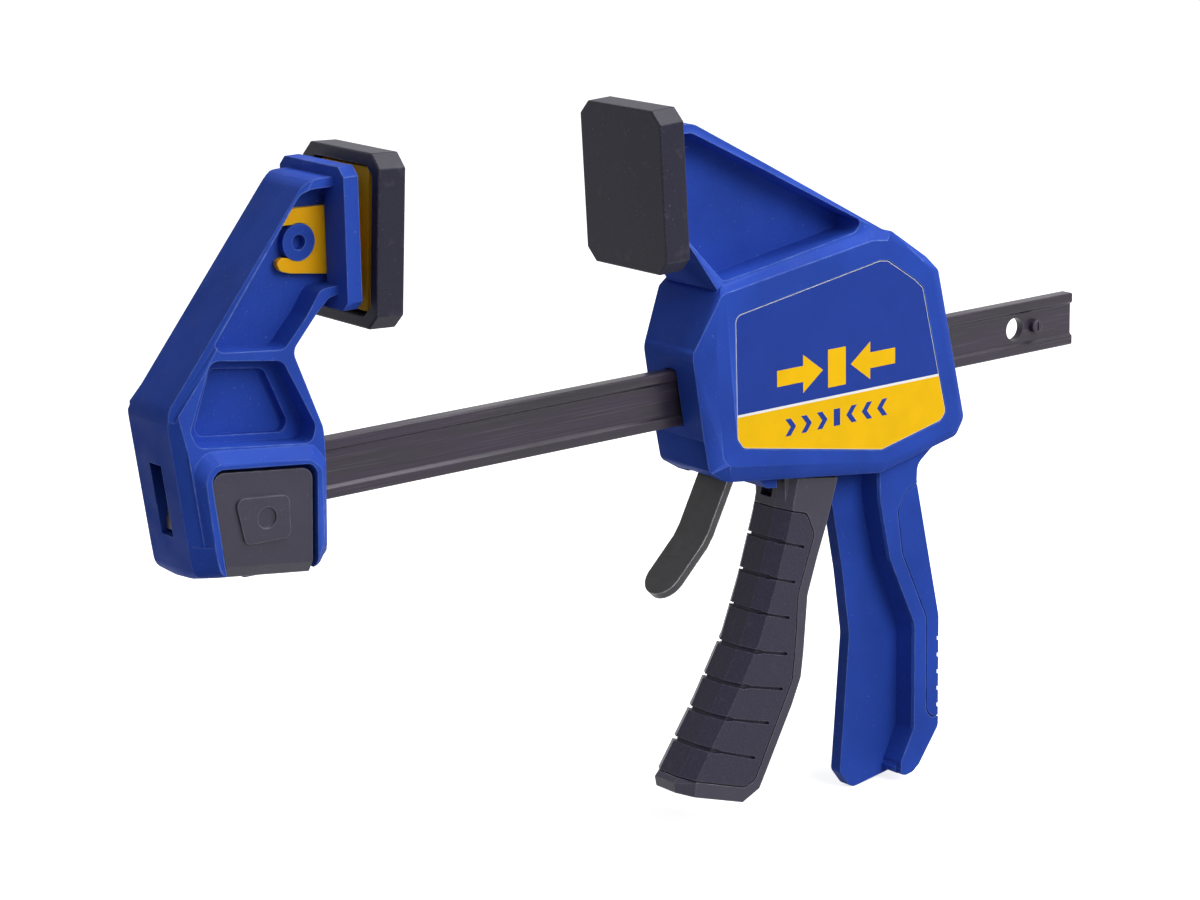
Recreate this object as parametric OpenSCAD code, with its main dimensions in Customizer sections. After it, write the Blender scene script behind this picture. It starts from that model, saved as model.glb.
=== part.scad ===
// One-handed quick-release bar clamp, millimetres.
// X runs along the bar from the fixed jaw to the free end, Y across the bar, Z up from bar to pads.
// Origin: centre of the hanging hole in the bar.

/* [Bar] */
// Height of the bar's I section
bar_h = 20; // [17:0.5:22]
// Thickness over the bar's rails
bar_t = 5.6; // [5:0.2:7]
// Height of each raised rail
rail_h = 3.9; // [3:0.1:5]
// Depth of the recess between the rails, each side
recess = 1.1; // [0.6:0.1:1.3]
// Radius of the hanging hole
hang_r = 4.25; // [3:0.25:5]
// Hanging hole to the bar's free end
hang_end = 29.5; // [18:0.5:40]
// Hanging hole to the stop pin
stop_x = 10; // [8:0.5:14]
// Radius of the stop pin
stop_r = 2.5; // [1.5:0.25:3]
// How far the stop pin stands out of the rails
stop_proud = 1.2; // [0.8:0.1:2.5]

/* [Layout] */
// Hanging hole to the fixed jaw's inner face
jaw_reach = 318.8; // [300:1:460]
// Hanging hole to the front face of the moving head
head_reach = 164; // [150:1:200]
// Height of the pad centres over the bar's centre line
pad_z = 76.2; // [72:0.5:82]

/* [Pads] */
// Width of a pad
pad_w = 43.6; // [38:0.5:50]
// Height of a pad
pad_h = 56.2; // [52:0.5:60]
// Thickness of a pad
pad_t = 10.4; // [9:0.2:14]
// Corner chamfer of a pad
pad_cut = 4.6; // [2:0.2:7]
// Width of the rim round the pocket in a pad's back
rim = 4.2; // [3:0.2:6]
// Depth of that pocket
pocket = 5; // [3.5:0.25:6]
// Swivel of the fixed jaw's pad as it stands, degrees
swivel = 3.2; // [-5:0.1:5]
// Toe-in of the moving pad, degrees
toe = 2.5; // [0:0.1:4]

/* [Fixed jaw] */
// Depth of the fixed jaw along the bar
jaw_len = 55.5; // [50:0.5:64]
// Half width of the jaw's arm at its pad
arm_half = 12.5; // [11:0.25:14]
// Half width of the arm at its foot
foot_half = 15.5; // [14:0.25:17]
// Half width of the block that holds the bar
block_half = 18.5; // [17.5:0.25:21]
// Half thickness of the arm's web
web_half = 3.8; // [3:0.1:4.5]
// Thickness of the ribs and flanges
rib = 3.2; // [2.4:0.1:4]
// Width of the plate behind the swivel pad
plate_w = 36.4; // [32:0.2:40]
// Height of that plate
plate_h = 44.5; // [40:0.5:48]
// Thickness of that plate
plate_t = 5.5; // [4:0.25:7]

/* [Swivel] */
// Radius of the boss that the carrier turns on
boss_r = 6; // [4.5:0.1:6.5]
// Bore through the boss, radius
boss_bore = 2.4; // [1.5:0.1:3]
// Pad face to the swivel axis
swivel_arm = 30.1; // [28:0.1:34]
// Thickness of each carrier cheek
cheek_t = 2.4; // [1.8:0.1:3]
// Half height of the cheeks where they leave the plate
cheek_h = 11.4; // [9:0.2:12.5]

/* [Button] */
// Length of the button along the bar
button_l = 37.8; // [34:0.1:38]
// Height of the button
button_h = 35.5; // [30:0.5:38]
// Thickness of the button
button_t = 3; // [2.5:0.25:4]
// Travel of the button
button_travel = 2.5; // [2:0.1:3]
// Radius of the stud that locks the bar
stud_r = 2.2; // [1.5:0.1:2.5]

/* [Moving head] */
// Length of the head along the bar
head_l = 125.4; // [122:0.2:136]
// Half width of the head's front face
nose_half = 13.4; // [11.2:0.2:14]
// Half width over the head's shoulders and its arm
shoulder_half = 14.6; // [14:0.1:16]
// Half width over the head's side panels
panel_half = 16.5; // [16:0.25:22]
// Half width of the head's arm at its pad
head_arm_half = 13; // [11:0.25:14]
// Half thickness of the web in the head's arm
head_web_half = 2.6; // [2.2:0.1:4]
// Depth of the recess for a side label
label_deep = 0.5; // [0.3:0.1:0.8]
// Half width of the trigger well inside the head
well_half = 11; // [10.6:0.1:12]

/* [Handle] */
// Centre line of the bar down to the lowest point of the handle
handle_drop = 162; // [156:1:170]
// Head's rear end to the back of the palm flange
handle_back = 9.6; // [6:0.2:12]
// Half thickness of the handle's front web
fin_half = 2.5; // [2:0.1:3.5]
// Half width of the handle's palm flange
palm_half = 12; // [10.5:0.25:14]
// Thickness of the soft grip over the palm flange
soft_t = 2.4; // [1.6:0.1:3]

/* [Trigger] */
// Half width over the trigger grip
trig_half = 10.5; // [9.5:0.1:10.6]
// Half width of the flat down the front of the trigger
trig_flat = 5.3; // [4:0.1:7]
// How far the bevels beside that flat run back
trig_bevel = 4.5; // [3:0.25:6]
// Thickness of the soft grip on the trigger
trig_soft = 1.8; // [1.2:0.1:2.4]
// Wall of the trigger channel
trig_wall = 2.5; // [2:0.1:3]
// Head front face to the trigger pin
pin_x = 56.7; // [55:0.1:58]
// Height of the trigger pin over the bar's centre line
pin_z = 19; // [18:0.1:21]
// Radius of the trigger pin
pin_r = 3; // [2.5:0.1:3.5]
// Radius of the eyes round the trigger pin
eye_r = 6.8; // [6:0.1:7]
// Swing of the trigger at a full squeeze, degrees
squeeze = 17; // [10:0.5:17]
// Trigger pin down to the noses that push the drive plates
nose_drop = 17; // [15:0.25:18]
// Grooves across the trigger grip
grooves = 7; // [4:1:9]

/* [Drive] */
// Thickness of a drive plate
drive_t = 2.5; // [2:0.1:3]
// Number of drive plates is fixed at three; gap between two plates
drive_gap = 0.3; // [0.1:0.1:0.5]
// Half width of a drive plate
drive_half = 8.5; // [7:0.1:9.5]
// Mean radius of the drive spring
coil_r = 11.5; // [11.4:0.1:11.8]
// Wire radius of the drive spring
coil_wire = 0.8; // [0.6:0.05:0.9]

/* [Release lever] */
// Thickness of the lever plate
lever_t = 3; // [2.5:0.1:3.5]
// Half width of the lever below the head
lever_half = 8; // [6:0.25:8.5]
// Half width of the lever round the bar
lever_wide = 8.2; // [7:0.1:8.5]
// Head front face to the lever's pivot
lever_x = 22.5; // [21:0.25:24]
// Height of the lever's pivot over the bar's centre line
lever_z = 15.5; // [15:0.25:18]
// Radius of the lever's pivot roll
roll_r = 2.4; // [2:0.1:2.6]
// Swing of the lever, degrees
lever_swing = 7; // [4:0.5:7]

/* [Fits] */
// Gap between parts that slide or swing past each other
slip = 0.3; // [0.25:0.05:0.4]
// Radial gap of a running fit on a pin or boss
running = 0.06; // [0.03:0.01:0.1]

/* [Hidden] */
$fn = 48;

blue = [0.14, 0.24, 0.62];
black = [0.16, 0.16, 0.19];
yellow = [0.98, 0.76, 0.08];
amber = [0.94, 0.66, 0.1];
dark_steel = [0.25, 0.24, 0.25];
steel = [0.6, 0.61, 0.63];

// ---------------------------------------------------------------- outlines

function unit(v) = v / norm(v);

// Arc of radius r that rounds corner b between a and c; a short side takes a smaller radius.
function corner(a, b, c, want, n) =
    let (u = unit(a - b), v = unit(c - b), half = acos(u * v) / 2,
        r = min(want, 0.48 * min(norm(a - b), norm(c - b)) * tan(half)),
        centre = b + unit(u + v) * r / sin(half),
        p = b + u * r / tan(half) - centre, q = b + v * r / tan(half) - centre)
    [for (i = [0:n]) centre + unit(p * (1 - i / n) + q * i / n) * r];

// Closed outline from rows [x, z, r]: each corner is rounded by its own r.
function rounded(rows, n = 5) =
    [for (i = [0:len(rows) - 1])
        let (a = rows[(i + len(rows) - 1) % len(rows)], b = rows[i], c = rows[(i + 1) % len(rows)])
        each (b[2] == 0 ? [[b[0], b[1]]] : corner([a[0], a[1]], [b[0], b[1]], [c[0], c[1]], b[2], n))];

// Points of a path moved sideways by d, mitred at the bends.
function beside(path, d) =
    [for (i = [0:len(path) - 1])
        let (u = unit(path[min(i + 1, len(path) - 1)] - path[i == len(path) - 1 ? i - 1 : i]),
            v = unit(path[i == 0 ? 1 : i] - path[max(i - 1, 0)]),
            m = unit(u + v))
        path[i] + [-m[1], m[0]] * d / (m * u)];

function reversed(list) = [for (i = [len(list) - 1:-1:0]) list[i]];

function strip(path, t) = concat(beside(path, t / 2), reversed(beside(path, -t / 2)));

// XZ outline carried across Y, width w, centred on y.
module across(w, y = 0) {
    translate([0, y + w / 2, 0])
        rotate([90, 0, 0])
            linear_extrude(w)
                children();
}

module slab(rows, w, y = 0) {
    across(w, y)
        polygon(rounded(rows));
}

// Block between two corners.
module block(low, high) {
    translate(low)
        cube(high - low);
}

// Both sides of the bar.
module both_sides() {
    children();
    mirror([0, 1, 0])
        children();
}

// Round bar along Y.
module cross_pin(x, z, r, half) {
    translate([x, 0, z])
        rotate([90, 0, 0])
            cylinder(r = r, h = 2 * half, center = true);
}

// Plate with chamfered corners, square to X, from x = 0 to t.
module eight_sided(w, h, t, cut) {
    rotate([90, 0, 90])
        linear_extrude(t)
            polygon([[cut - w / 2, -h / 2], [w / 2 - cut, -h / 2], [w / 2, cut - h / 2],
                [w / 2, h / 2 - cut], [w / 2 - cut, h / 2], [cut - w / 2, h / 2],
                [-w / 2, h / 2 - cut], [-w / 2, cut - h / 2]]);
}

// Closed-end coil spring along +X from x = 0.
module coil(mean_r, wire_r, length, turns, sides = 6, per_turn = 16) {
    steps = turns * per_turn;
    ends = 2 * wire_r * 1.05;
    function along(t) =
        t < 1 ? t * ends
        : t > turns - 1 ? length - 2 * wire_r - (turns - t) * ends
        : ends + (t - 1) * (length - 2 * wire_r - 2 * ends) / (turns - 2);
    points = [for (i = [0:steps], j = [0:sides - 1])
        let (a = 360 * i / per_turn, b = 360 * j / sides)
        [wire_r + along(i / per_turn) + wire_r * sin(b),
            (mean_r + wire_r * cos(b)) * cos(a), (mean_r + wire_r * cos(b)) * sin(a)]];
    polyhedron(points, concat(
        [reversed([for (j = [0:sides - 1]) j])],
        [[for (j = [0:sides - 1]) steps * sides + j]],
        [for (i = [0:steps - 1], j = [0:sides - 1])
            [i * sides + j, i * sides + (j + 1) % sides, (i + 1) * sides + (j + 1) % sides,
                (i + 1) * sides + j]]));
}

module at_jaw() {
    translate([-jaw_reach, 0, 0])
        children();
}

module at_head() {
    translate([-head_reach, 0, 0])
        children();
}

// ---------------------------------------------------------------- bar

rail_z = bar_h / 2;
bar_half = bar_t / 2;
bar_web = bar_half - recess;
bar_back = 7;
bar_left = bar_back - jaw_reach - jaw_len;
tunnel_z = rail_z + slip;
tunnel_half = bar_half + slip;
lock_x = -jaw_len / 2;

module bar() {
    color(dark_steel)
        difference() {
            block([bar_left, -bar_half, -rail_z], [hang_end, bar_half, rail_z]);
            both_sides()
                block([bar_left - 1, bar_web, rail_h - rail_z],
                    [hang_end + 1, bar_half + 1, rail_z - rail_h]);
            cross_pin(0, 0, hang_r, bar_t);
            cross_pin(stop_x, 0, stop_r, bar_t);
            at_jaw()
                cross_pin(lock_x, 0, stud_r + slip, bar_t);
        }
}

module stop_pin() {
    color(steel)
        cross_pin(stop_x, 0, stop_r, bar_half + stop_proud);
}

// The space the bar slides in.
module bar_way(low, high) {
    block([low, -tunnel_half, -tunnel_z], [high, tunnel_half, tunnel_z]);
}

// ---------------------------------------------------------------- fixed jaw

pivot_x = -1.3;
plate_x = pivot_x + swivel_arm - pad_t - plate_t - 4.2;
plate_top = pad_z + plate_h / 2;
plate_foot = pad_z - plate_h / 2;
plate_lip = 1.4;
arm_top = plate_top - 1.8;
heel = plate_foot - 10.5;

// Outer outline of the jaw's flanges, seen from the side.
jaw_rows = [
    [plate_x + 1, arm_top, 0], [-0.5, arm_top, 9], [-jaw_len, 29, 9], [-jaw_len + 7.4, -26, 14],
    [-1.1, -27.6, 6], [0, 8, 0], [-0.5, 18, 6], [-9.5, heel, 4], [0, heel + 10.5, 4],
    [5, plate_foot + 4.5, 4], [plate_x + 1, plate_foot + 5.3, 0]];

// Mouth of the upper pocket.
jaw_upper = [
    [plate_x, arm_top - rib, 0], [-2.2, arm_top - rib, 7], [-37.5, heel + 5.4, 4], [-35.5, heel + 3.4, 3],
    [-12.5, heel + 1, 4], [-3.6, heel + 10.3, 3], [2, plate_foot + 7.6, 4], [plate_x, plate_foot + 8, 0]];

// Mouth of the lower pocket, and the sunk floor inside it.
jaw_lower = [
    [-39.5, heel + 1.4, 4], [-13.5, heel - 2.4, 4], [-3.2, 19, 4], [-5, 13.5, 3],
    [-46.5, 18.6, 4], [-48.9, 24, 3]];
jaw_floor = [
    [-36, heel - 2.6, 2], [-16.5, heel - 5.4, 3], [-8.4, 19.5, 3], [-10.5, 16.5, 3], [-43.5, 20.4, 3]];
ledge = 3;
edge = 3.6;

// Side outline of the block that holds the bar, at its foot and at its face.
block_foot = [
    [-jaw_len + 5.6, 17.9, 7], [-4.5, 12.9, 3], [0, 7, 3], [-0.8, -21, 3], [-4.5, -27, 4],
    [-jaw_len + 16.5, -26.2, 3], [-jaw_len + 10, -16, 8]];
block_face = [
    [-jaw_len + 8.6, 14.3, 6], [-7.3, 9, 4], [-3.4, 5.4, 3], [-3.6, -18, 3], [-7, -25.6, 4],
    [-jaw_len + 17.5, -25.4, 3], [-jaw_len + 11.8, -16, 8]];

// Recess for the button, open at the foot of the block.
button_right = -6.5;
button_top = 10.6;
button_low = button_top - button_h;
button_rows = [
    [button_right - button_l, button_top, 4], [button_right, button_top - 4.4, 4],
    [button_right - 1.4, button_low - 1.6, 0], [button_right - button_l + 4.9, button_low + 2.4, 0]];
button_deep = button_t + button_travel + slip;
button_face = block_half - 1;
button_gap = 1.3;
cell_half = 12.8;
yoke_z = -rail_z - 2.4;
yoke_t = 1.8;

// Square bar laid along an outer edge; cutting it away leaves a bevel there.
module edge_cut(a, b, side, leg) {
    run = b - a;
    translate([(a[0] + b[0]) / 2, side, (a[1] + b[1]) / 2])
        rotate([0, -atan2(run[1], run[0]), 0])
            rotate([45, 0, 0])
                cube([norm(run) + 8, leg * sqrt(2), leg * sqrt(2)], center = true);
}

module jaw_arm() {
    difference() {
        intersection() {
            slab(jaw_rows, 2 * foot_half);
            rotate([90, 0, 90])
                linear_extrude(2 * jaw_len + 2 * plate_x, center = true)
                    polygon([for (s = [1, -1]) each [for (k = s > 0 ? [0:4] : [4:-1:0])
                        [s * [foot_half - edge, foot_half, foot_half, arm_half + 0.8, arm_half][k],
                            [-28, -22, 16, heel + 2, arm_top + 1][k]]]]);
        }
        both_sides() {
            edge_cut([-jaw_len, 29], [-jaw_len + 7.4, -26], foot_half - 0.2, edge);
            edge_cut([-jaw_len, 29], [-0.5, arm_top], arm_half + 1, edge - 1);
        }
    }
}

module jaw_block() {
    hull() {
        slab(block_foot, 2 * foot_half);
        slab(block_face, 2 * block_half);
    }
}

// Room for the button, its yoke and its spring.
module button_well() {
    across(button_deep + 1, button_deep / 2 - button_face - 0.5)
        polygon(rounded([for (p = button_rows) [p[0] + (p[0] < -jaw_len / 2 ? -slip : button_gap),
            p[1] + (p[1] > 0 ? button_gap : -5), p[2]]]));
    block([lock_x - 5, -button_face, yoke_z - yoke_t - slip], [lock_x + 5, cell_half, -tunnel_z + 0.1]);
    block([lock_x - 5, tunnel_half - 0.1, yoke_z - yoke_t - slip], [lock_x + 5, cell_half, stud_r + 3]);
    translate([lock_x, 0, spring_z])
        rotate([90, 0, 0])
            cylinder(r = 4.1, h = button_face);
}

module fixed_jaw() {
    color(blue)
        at_jaw()
            difference() {
                union() {
                    jaw_arm();
                    jaw_block();
                    translate([plate_x, 0, pad_z + plate_lip / 2])
                        eight_sided(plate_w, plate_h + plate_lip, plate_t, 3);
                }
                both_sides() {
                    slab(jaw_upper, block_half, web_half + block_half / 2);
                    slab(jaw_lower, block_half, web_half + ledge + block_half / 2);
                    slab(jaw_floor, block_half, web_half + block_half / 2);
                    // slots that the carrier's cheeks pass through
                    block([plate_x - 0.1, web_half, pad_z - cheek_h - 2.8],
                        [plate_x + plate_t + 1, web_half + cheek_t + 2 * slip, pad_z + cheek_h + 2.8]);
                }
                bar_way(-jaw_len - 1, 1);
                // wider mouth of the bar's slot
                block([-jaw_len - 1, -tunnel_half - 0.4, -11.5],
                    [bar_back - jaw_len + 3, tunnel_half + 0.4, 12]);
                button_well();
            }
    color(blue)
        at_jaw()
            difference() {
                cross_pin(pivot_x, pad_z, boss_r, web_half + slip + cheek_t + 0.2);
                cross_pin(pivot_x, pad_z, boss_bore, block_half);
            }
}

// ---------------------------------------------------------------- button and lock

spring_z = -18.5;

// Generic raised mark: a ring round a plain disc.
module button_mark() {
    mark = [-jaw_len / 2 + 3.2, -6.8];
    across(0.8, -button_face - 0.4)
        translate(mark)
            difference() {
                polygon(rounded([[-11.5, 8, 2.5], [8.6, 6, 2.5], [8.6, -8, 2.5], [-8.2, -7.6, 2.5]]));
                circle(r = 3.4);
            }
}

module push_button() {
    color(black)
        at_jaw() {
            slab(button_rows, button_t, button_t / 2 - button_face);
            button_mark();
            // spring post behind the plate
            translate([lock_x, button_t - button_face, spring_z])
                rotate([-90, 0, 0])
                    cylinder(r = 2.2, h = 2.2);
        }
}

module lock_yoke() {
    near = button_t - button_face;
    far = bar_half + slip + 5;
    color(steel)
        at_jaw() {
            block([lock_x - 4, near, yoke_z - yoke_t], [lock_x + 4, far + yoke_t, yoke_z]);
            block([lock_x - 4, far, yoke_z - 0.01], [lock_x + 4, far + yoke_t, stud_r + 2]);
            translate([lock_x, far + 0.01, 0])
                rotate([90, 0, 0])
                    cylinder(r = stud_r, h = far - bar_web + 2.2);
        }
}

module button_spring() {
    color(steel)
        at_jaw()
            translate([lock_x, 0, spring_z])
                rotate([0, 0, -90])
                    coil(3.2, 0.4, button_face - button_t - button_travel - slip, 5, per_turn = 12);
}

// ---------------------------------------------------------------- swivel pad

carrier_back = swivel_arm - pad_t + 2;
carrier_gap = 1.8;
cheek_low = web_half + slip;

module on_swivel() {
    at_jaw()
        translate([pivot_x, 0, pad_z])
            rotate([0, swivel, 0])
                children();
}

// Cheek with its snap hook round the boss.
module cheek() {
    across(cheek_t, cheek_low + cheek_t / 2)
        difference() {
            polygon(rounded([
                [carrier_back + 1, -cheek_h - 0.4, 0], [carrier_back + 1, cheek_h, 0],
                [-3.9, cheek_h - 0.7, 1], [-6.8, 6.9, 0.5], [-6, 5.5, 0.6], [0, 5.7, 0], [0, -5.3, 0],
                [-6, -4.6, 2], [-8.4, -6, 2],
                [-6.6, -8.9, 2.4], [-2.7, -cheek_h + 1.6, 4]]));
            circle(r = boss_r + running);
        }
}

module swivel_carrier() {
    color(amber)
        on_swivel() {
            both_sides()
                cheek();
            translate([carrier_back, 0, 0])
                eight_sided(pad_w - 2 * rim - carrier_gap, pad_h - 2 * rim - carrier_gap, pocket - 2,
                    pad_cut - 1.4);
        }
}

// Pad from its working face at x = 0 back to x = -pad_t.
module pad() {
    difference() {
        union() {
            translate([-pad_t, 0, 0])
                eight_sided(pad_w, pad_h, pad_t - 1, pad_cut);
            hull() {
                translate([-1.01, 0, 0])
                    eight_sided(pad_w, pad_h, 0.01, pad_cut);
                translate([-0.01, 0, 0])
                    eight_sided(pad_w - 2, pad_h - 2, 0.01, pad_cut - 0.5);
            }
        }
        translate([-pad_t - 1, 0, 0])
            eight_sided(pad_w - 2 * rim, pad_h - 2 * rim, pocket + 1, pad_cut - 1.4);
    }
}

module fixed_pad() {
    color(black)
        on_swivel()
            translate([swivel_arm, 0, 0])
                pad();
}

// ---------------------------------------------------------------- moving head

pad_x = -20.9;
head_plate_t = pocket;

// Side outlines of the housing: at its nose, at its shoulders and at its panels.
nose_rows = [
    [8.8, 38.8, 3], [-2.4, 17, 8], [2.4, -14, 8], [4.6, -25.4, 4], [13.3, -30.7, 2], [30, -24, 0],
    [30, 34, 0]];
shoulder_rows = [
    [0.6, 18, 6], [5, -14, 6], [7.4, -24.5, 4], [13.3, -28.9, 3], [83.8, -39.1, 5], [head_l - 4, -31.5, 4],
    [head_l, -25.3, 4], [head_l - 13.3, 31.8, 4], [head_l - 19.3, 37.4, 4], [head_l - 36.6, 49.2, 3],
    [79.6, 49.8, 4], [9.5, 39.9, 3]];
panel_rows = [
    [7.1, 36.2, 4], [6.1, 19.3, 0], [6.6, -0.8, 0], [8.6, -21.1, 3], [11.6, -24, 3], [84.3, -34.6, 5],
    [head_l - 7.3, -28.2, 4], [head_l - 4.3, -23.4, 4], [head_l - 18.5, 32, 4], [head_l - 22.5, 36.5, 3],
    [head_l - 39.6, 46.3, 4], [77.9, 47.1, 4], [10.1, 37.6, 3]];
label_rows = [
    [14.4, 29.1, 3], [81.9, 39.6, 3], [85.9, 39.1, 2], [head_l - 26.5, 30.5, 2], [head_l - 22.4, 27, 2],
    [head_l - 10.8, -21.1, 2.5], [head_l - 13.5, -24.1, 2.5], [82.9, -30.1, 2], [17.6, -18.6, 2.5],
    [14.9, -14.8, 2]];

// Outer outline of the arm and the mouth of its pocket.
head_top = pad_z + 21.1;
function pad_back(z) = pad_x + pad_t - 1 + (pad_z - z) * tan(toe);
arm_rows = [
    [pad_back(head_top), head_top, 0], [-0.7, head_top, 8], [88.9, 47.9, 0], [80, 30, 0], [12, 25, 0],
    [8.8, 38.7, 3], [-3.5, pad_z - 19.8, 3], [pad_back(pad_z - 19.2), pad_z - 19.2, 0]];
arm_pocket = [
    [-9, head_top - rib, 0], [-1.3, head_top - rib, 6], [74.6, 54.5, 3], [72, 50.8, 3],
    [11.5, 41.3, 3], [-3.1, pad_z - 19.1, 2.5], [-9, pad_z - 13, 0]];

// Handle: thin front web, wide palm flange and the soft grip over its back.
hx = head_l - handle_back;
hz = -handle_drop;
fin_rows = [
    [hx - 45.8, -34, 0], [hx - 45.8, -44, 8], [hx - 39.5, -77.4, 20], [hx - 36.2, -102, 14],
    [hx - 40.9, hz + 7.5, 3], [hx - 35.3, hz, 4], [hx - 11.8, hz + 3.4, 0], [hx - 7.8, -90, 0],
    [hx - 21.8, -34, 0]];
function palm_rows(front) = [
    [hx - 26.6 - front, -34, 0], [hx - 26.2 - front, -50, 10], [hx - 21.3 - front, -73.5, 12],
    [hx - 8.8 - front, -101, 6], [hx - 9 - front, hz + 16.6, 4], [hx - 19.3 - front / 2, hz + 5.5, 1.5],
    [hx - 18.3, hz + 3.2, 2], [hx - 10.3, hz + 5.2, 4], [hx - 0.1, hz + 19, 4], [hx, -100, 8],
    [hx - 11.5, -46, 4], [hx - 11.2, -40, 5], [hx - 4.8, -35.3, 4], [hx + 2.2, -32, 0]];
grip_rows = [
    [hx - 10.8, -47.3, 0], [hx - 16.9, -49.5, 4], [hx - 20.6, -56, 4], [hx - 18.2, -72.5, 6],
    [hx - 6, -99.5, 6], [hx - 5.9, hz + 26, 4], [hx - 3.2, hz + 23.3, 1.5], [hx + 9.2, hz + 22.6, 0],
    [hx + 9.2, -47.3, 0]];

drive_x = pin_x + slip;
drive_end = drive_x + 3 * drive_t + 2 * drive_gap;
drive_travel = nose_drop * squeeze * PI / 180;
washer_t = 1.2;
rear_wall = head_l - 17.5;
coil_room = coil_r + coil_wire + 0.4;
swing_x = 85;

module housing() {
    hull() {
        slab(nose_rows, 2 * nose_half);
        slab(shoulder_rows, 2 * shoulder_half);
        slab(panel_rows, 2 * panel_half);
    }
}

module head_arm() {
    intersection() {
        slab(arm_rows, 2 * shoulder_half);
        linear_extrude(head_top + 1)
            polygon([[-30, -head_arm_half], [-4, -head_arm_half], [30, -shoulder_half], [130, -shoulder_half],
                [130, shoulder_half], [30, shoulder_half], [-4, head_arm_half], [-30, head_arm_half]]);
    }
}

module head_plate() {
    translate([pad_x, 0, pad_z])
        rotate([0, -toe, 0])
            translate([pad_t - pocket, 0, 0])
                eight_sided(pad_w - 2 * rim - 0.2, pad_h - 2 * rim - 0.2, head_plate_t, pad_cut - 1.4);
}

// Hard core under the soft grip.
module palm_core() {
    across(2 * (palm_half - soft_t))
        intersection() {
            polygon(rounded(palm_rows(2.2)));
            translate([-soft_t, 0])
                polygon(rounded(palm_rows(0)));
        }
}

module palm() {
    across(2 * palm_half)
        difference() {
            polygon(rounded(palm_rows(0)));
            polygon(rounded(grip_rows));
        }
    palm_core();
}

// Space inside the head for the lever, the trigger, the plates and the spring.
module head_works() {
    lever_room = lever_wide + 0.4;
    bar_way(-4, head_l + 1);
    block([10, -lever_room, -42], [29, lever_room, lever_z - roll_r + 1]);
    cross_pin(lever_x, lever_z, roll_r + slip, lever_room);
    across(2 * well_half)
        polygon([[38.5, -43.5], [swing_x, -43.5], [swing_x, -24], [74, -17], [74, 17], [67, 27.5],
            [46, 27.5], [42.5, 16], [42.5, -14]]);
    translate([46, 0, 0])
        rotate([0, 90, 0])
            cylinder(r = coil_room, h = rear_wall - 46);
    cross_pin(pin_x, pin_z, pin_r, panel_half + 1);
    // pocket for the release spring
    translate([release_x, 0, release_z])
        rotate([0, 90, 0])
            cylinder(r = 3.6, h = 7);
    both_sides()
        slab(label_rows, 2, panel_half - label_deep + 1);
}

release_x = 28;
release_z = -18;

module clamp_body() {
    color(blue)
        at_head()
            difference() {
                union() {
                    housing();
                    head_arm();
                    head_plate();
                    palm();
                    slab(fin_rows, 2 * fin_half);
                    // wall between lever and trigger, with its foot below the housing
                    slab([[29, -20, 0], [38.5, -20, 0], [38.5, -37.4, 0], [34, -37, 1], [29, -32, 0]], 20);
                }
                both_sides()
                    slab(arm_pocket, shoulder_half, head_web_half + shoulder_half / 2);
                head_works();
            }
    // top of the front web, which the trigger's channel straddles inside the housing
    color(blue)
        at_head()
            slab([[hx - 45.8, -37, 0], [hx - 45.8, -44.5, 0], [hx - 20.8, -44.5, 0], [hx - 20.8, -37, 0]],
                2 * fin_half);
}

module handle_grip() {
    color([0.2, 0.32, 0.68])
        at_head()
            difference() {
                across(2 * palm_half)
                    intersection() {
                        polygon(rounded(palm_rows(0)));
                        polygon(rounded(grip_rows));
                    }
                palm_core();
                for (i = [0:4])
                    block([hx - 0.8, -palm_half - 1, -109.5 - 6.5 * i],
                        [hx + 1.2, palm_half + 1, -108 - 6.5 * i]);
            }
}

module moving_pad() {
    color(black)
        at_head()
            translate([pad_x, 0, pad_z])
                rotate([0, -toe, 0])
                    mirror([1, 0, 0])
                        pad();
}

module label(side) {
    at_head()
        slab(label_rows, 0.4, side * (panel_half - label_deep + 0.2));
}

module label_left() {
    color(yellow)
        label(-1);
}

module label_right() {
    color(yellow)
        label(1);
}

module trigger_pin() {
    color(steel)
        at_head()
            cross_pin(pin_x, pin_z, pin_r, panel_half - label_deep - 1.5);
}

// ---------------------------------------------------------------- trigger

// Front of the trigger from the top down, and its back from the top down.
trig_front = [[43.6, -35], [40, -50.5], [32.4, -74], [24.8, -93], [11.2, -115], [-5.4, -138.2],
    [-4.6, -141.6]];
trig_back = [[67, -38.6], [61.7, -54.4], [56.9, -66.7], [52.3, -79.8], [50.2, -101], [48.9, -110],
    [44.6, -119.5], [30, -145.7], [28.8, -147.8], [20.9, -151.3]];
// Side outline of the soft grip; it runs off the front of the trigger.
trig_zone = [
    [20, -39.8, 0], [52.2, -49.2, 3], [55.9, -57.6, 4], [48, -78.3, 6], [46.6, -97, 0], [44.9, -110.5, 6],
    [26.8, -144.4, 3], [22, -146, 3], [-20, -132.4, 0]];
nose_r = 3;
nose_z = pin_z - nose_drop;
trig_core = trig_half - trig_soft;
channel_half = trig_core - trig_wall - 1;

function moved(path, v) = [for (p = path) p + v];

// Full profile of the trigger, width 2 * half, with its front d behind the skin and both edges bevelled.
module trigger_body(half, d) {
    front = moved(trig_front, [d, 0]);
    deep = trig_bevel;
    wide = trig_half - trig_flat;
    difference() {
        across(2 * half)
            polygon(concat(front, reversed(trig_back)));
        both_sides()
            for (i = [0:len(front) - 2])
                bevel_cut(front[i], front[i + 1], half, wide, deep);
    }
}

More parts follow.
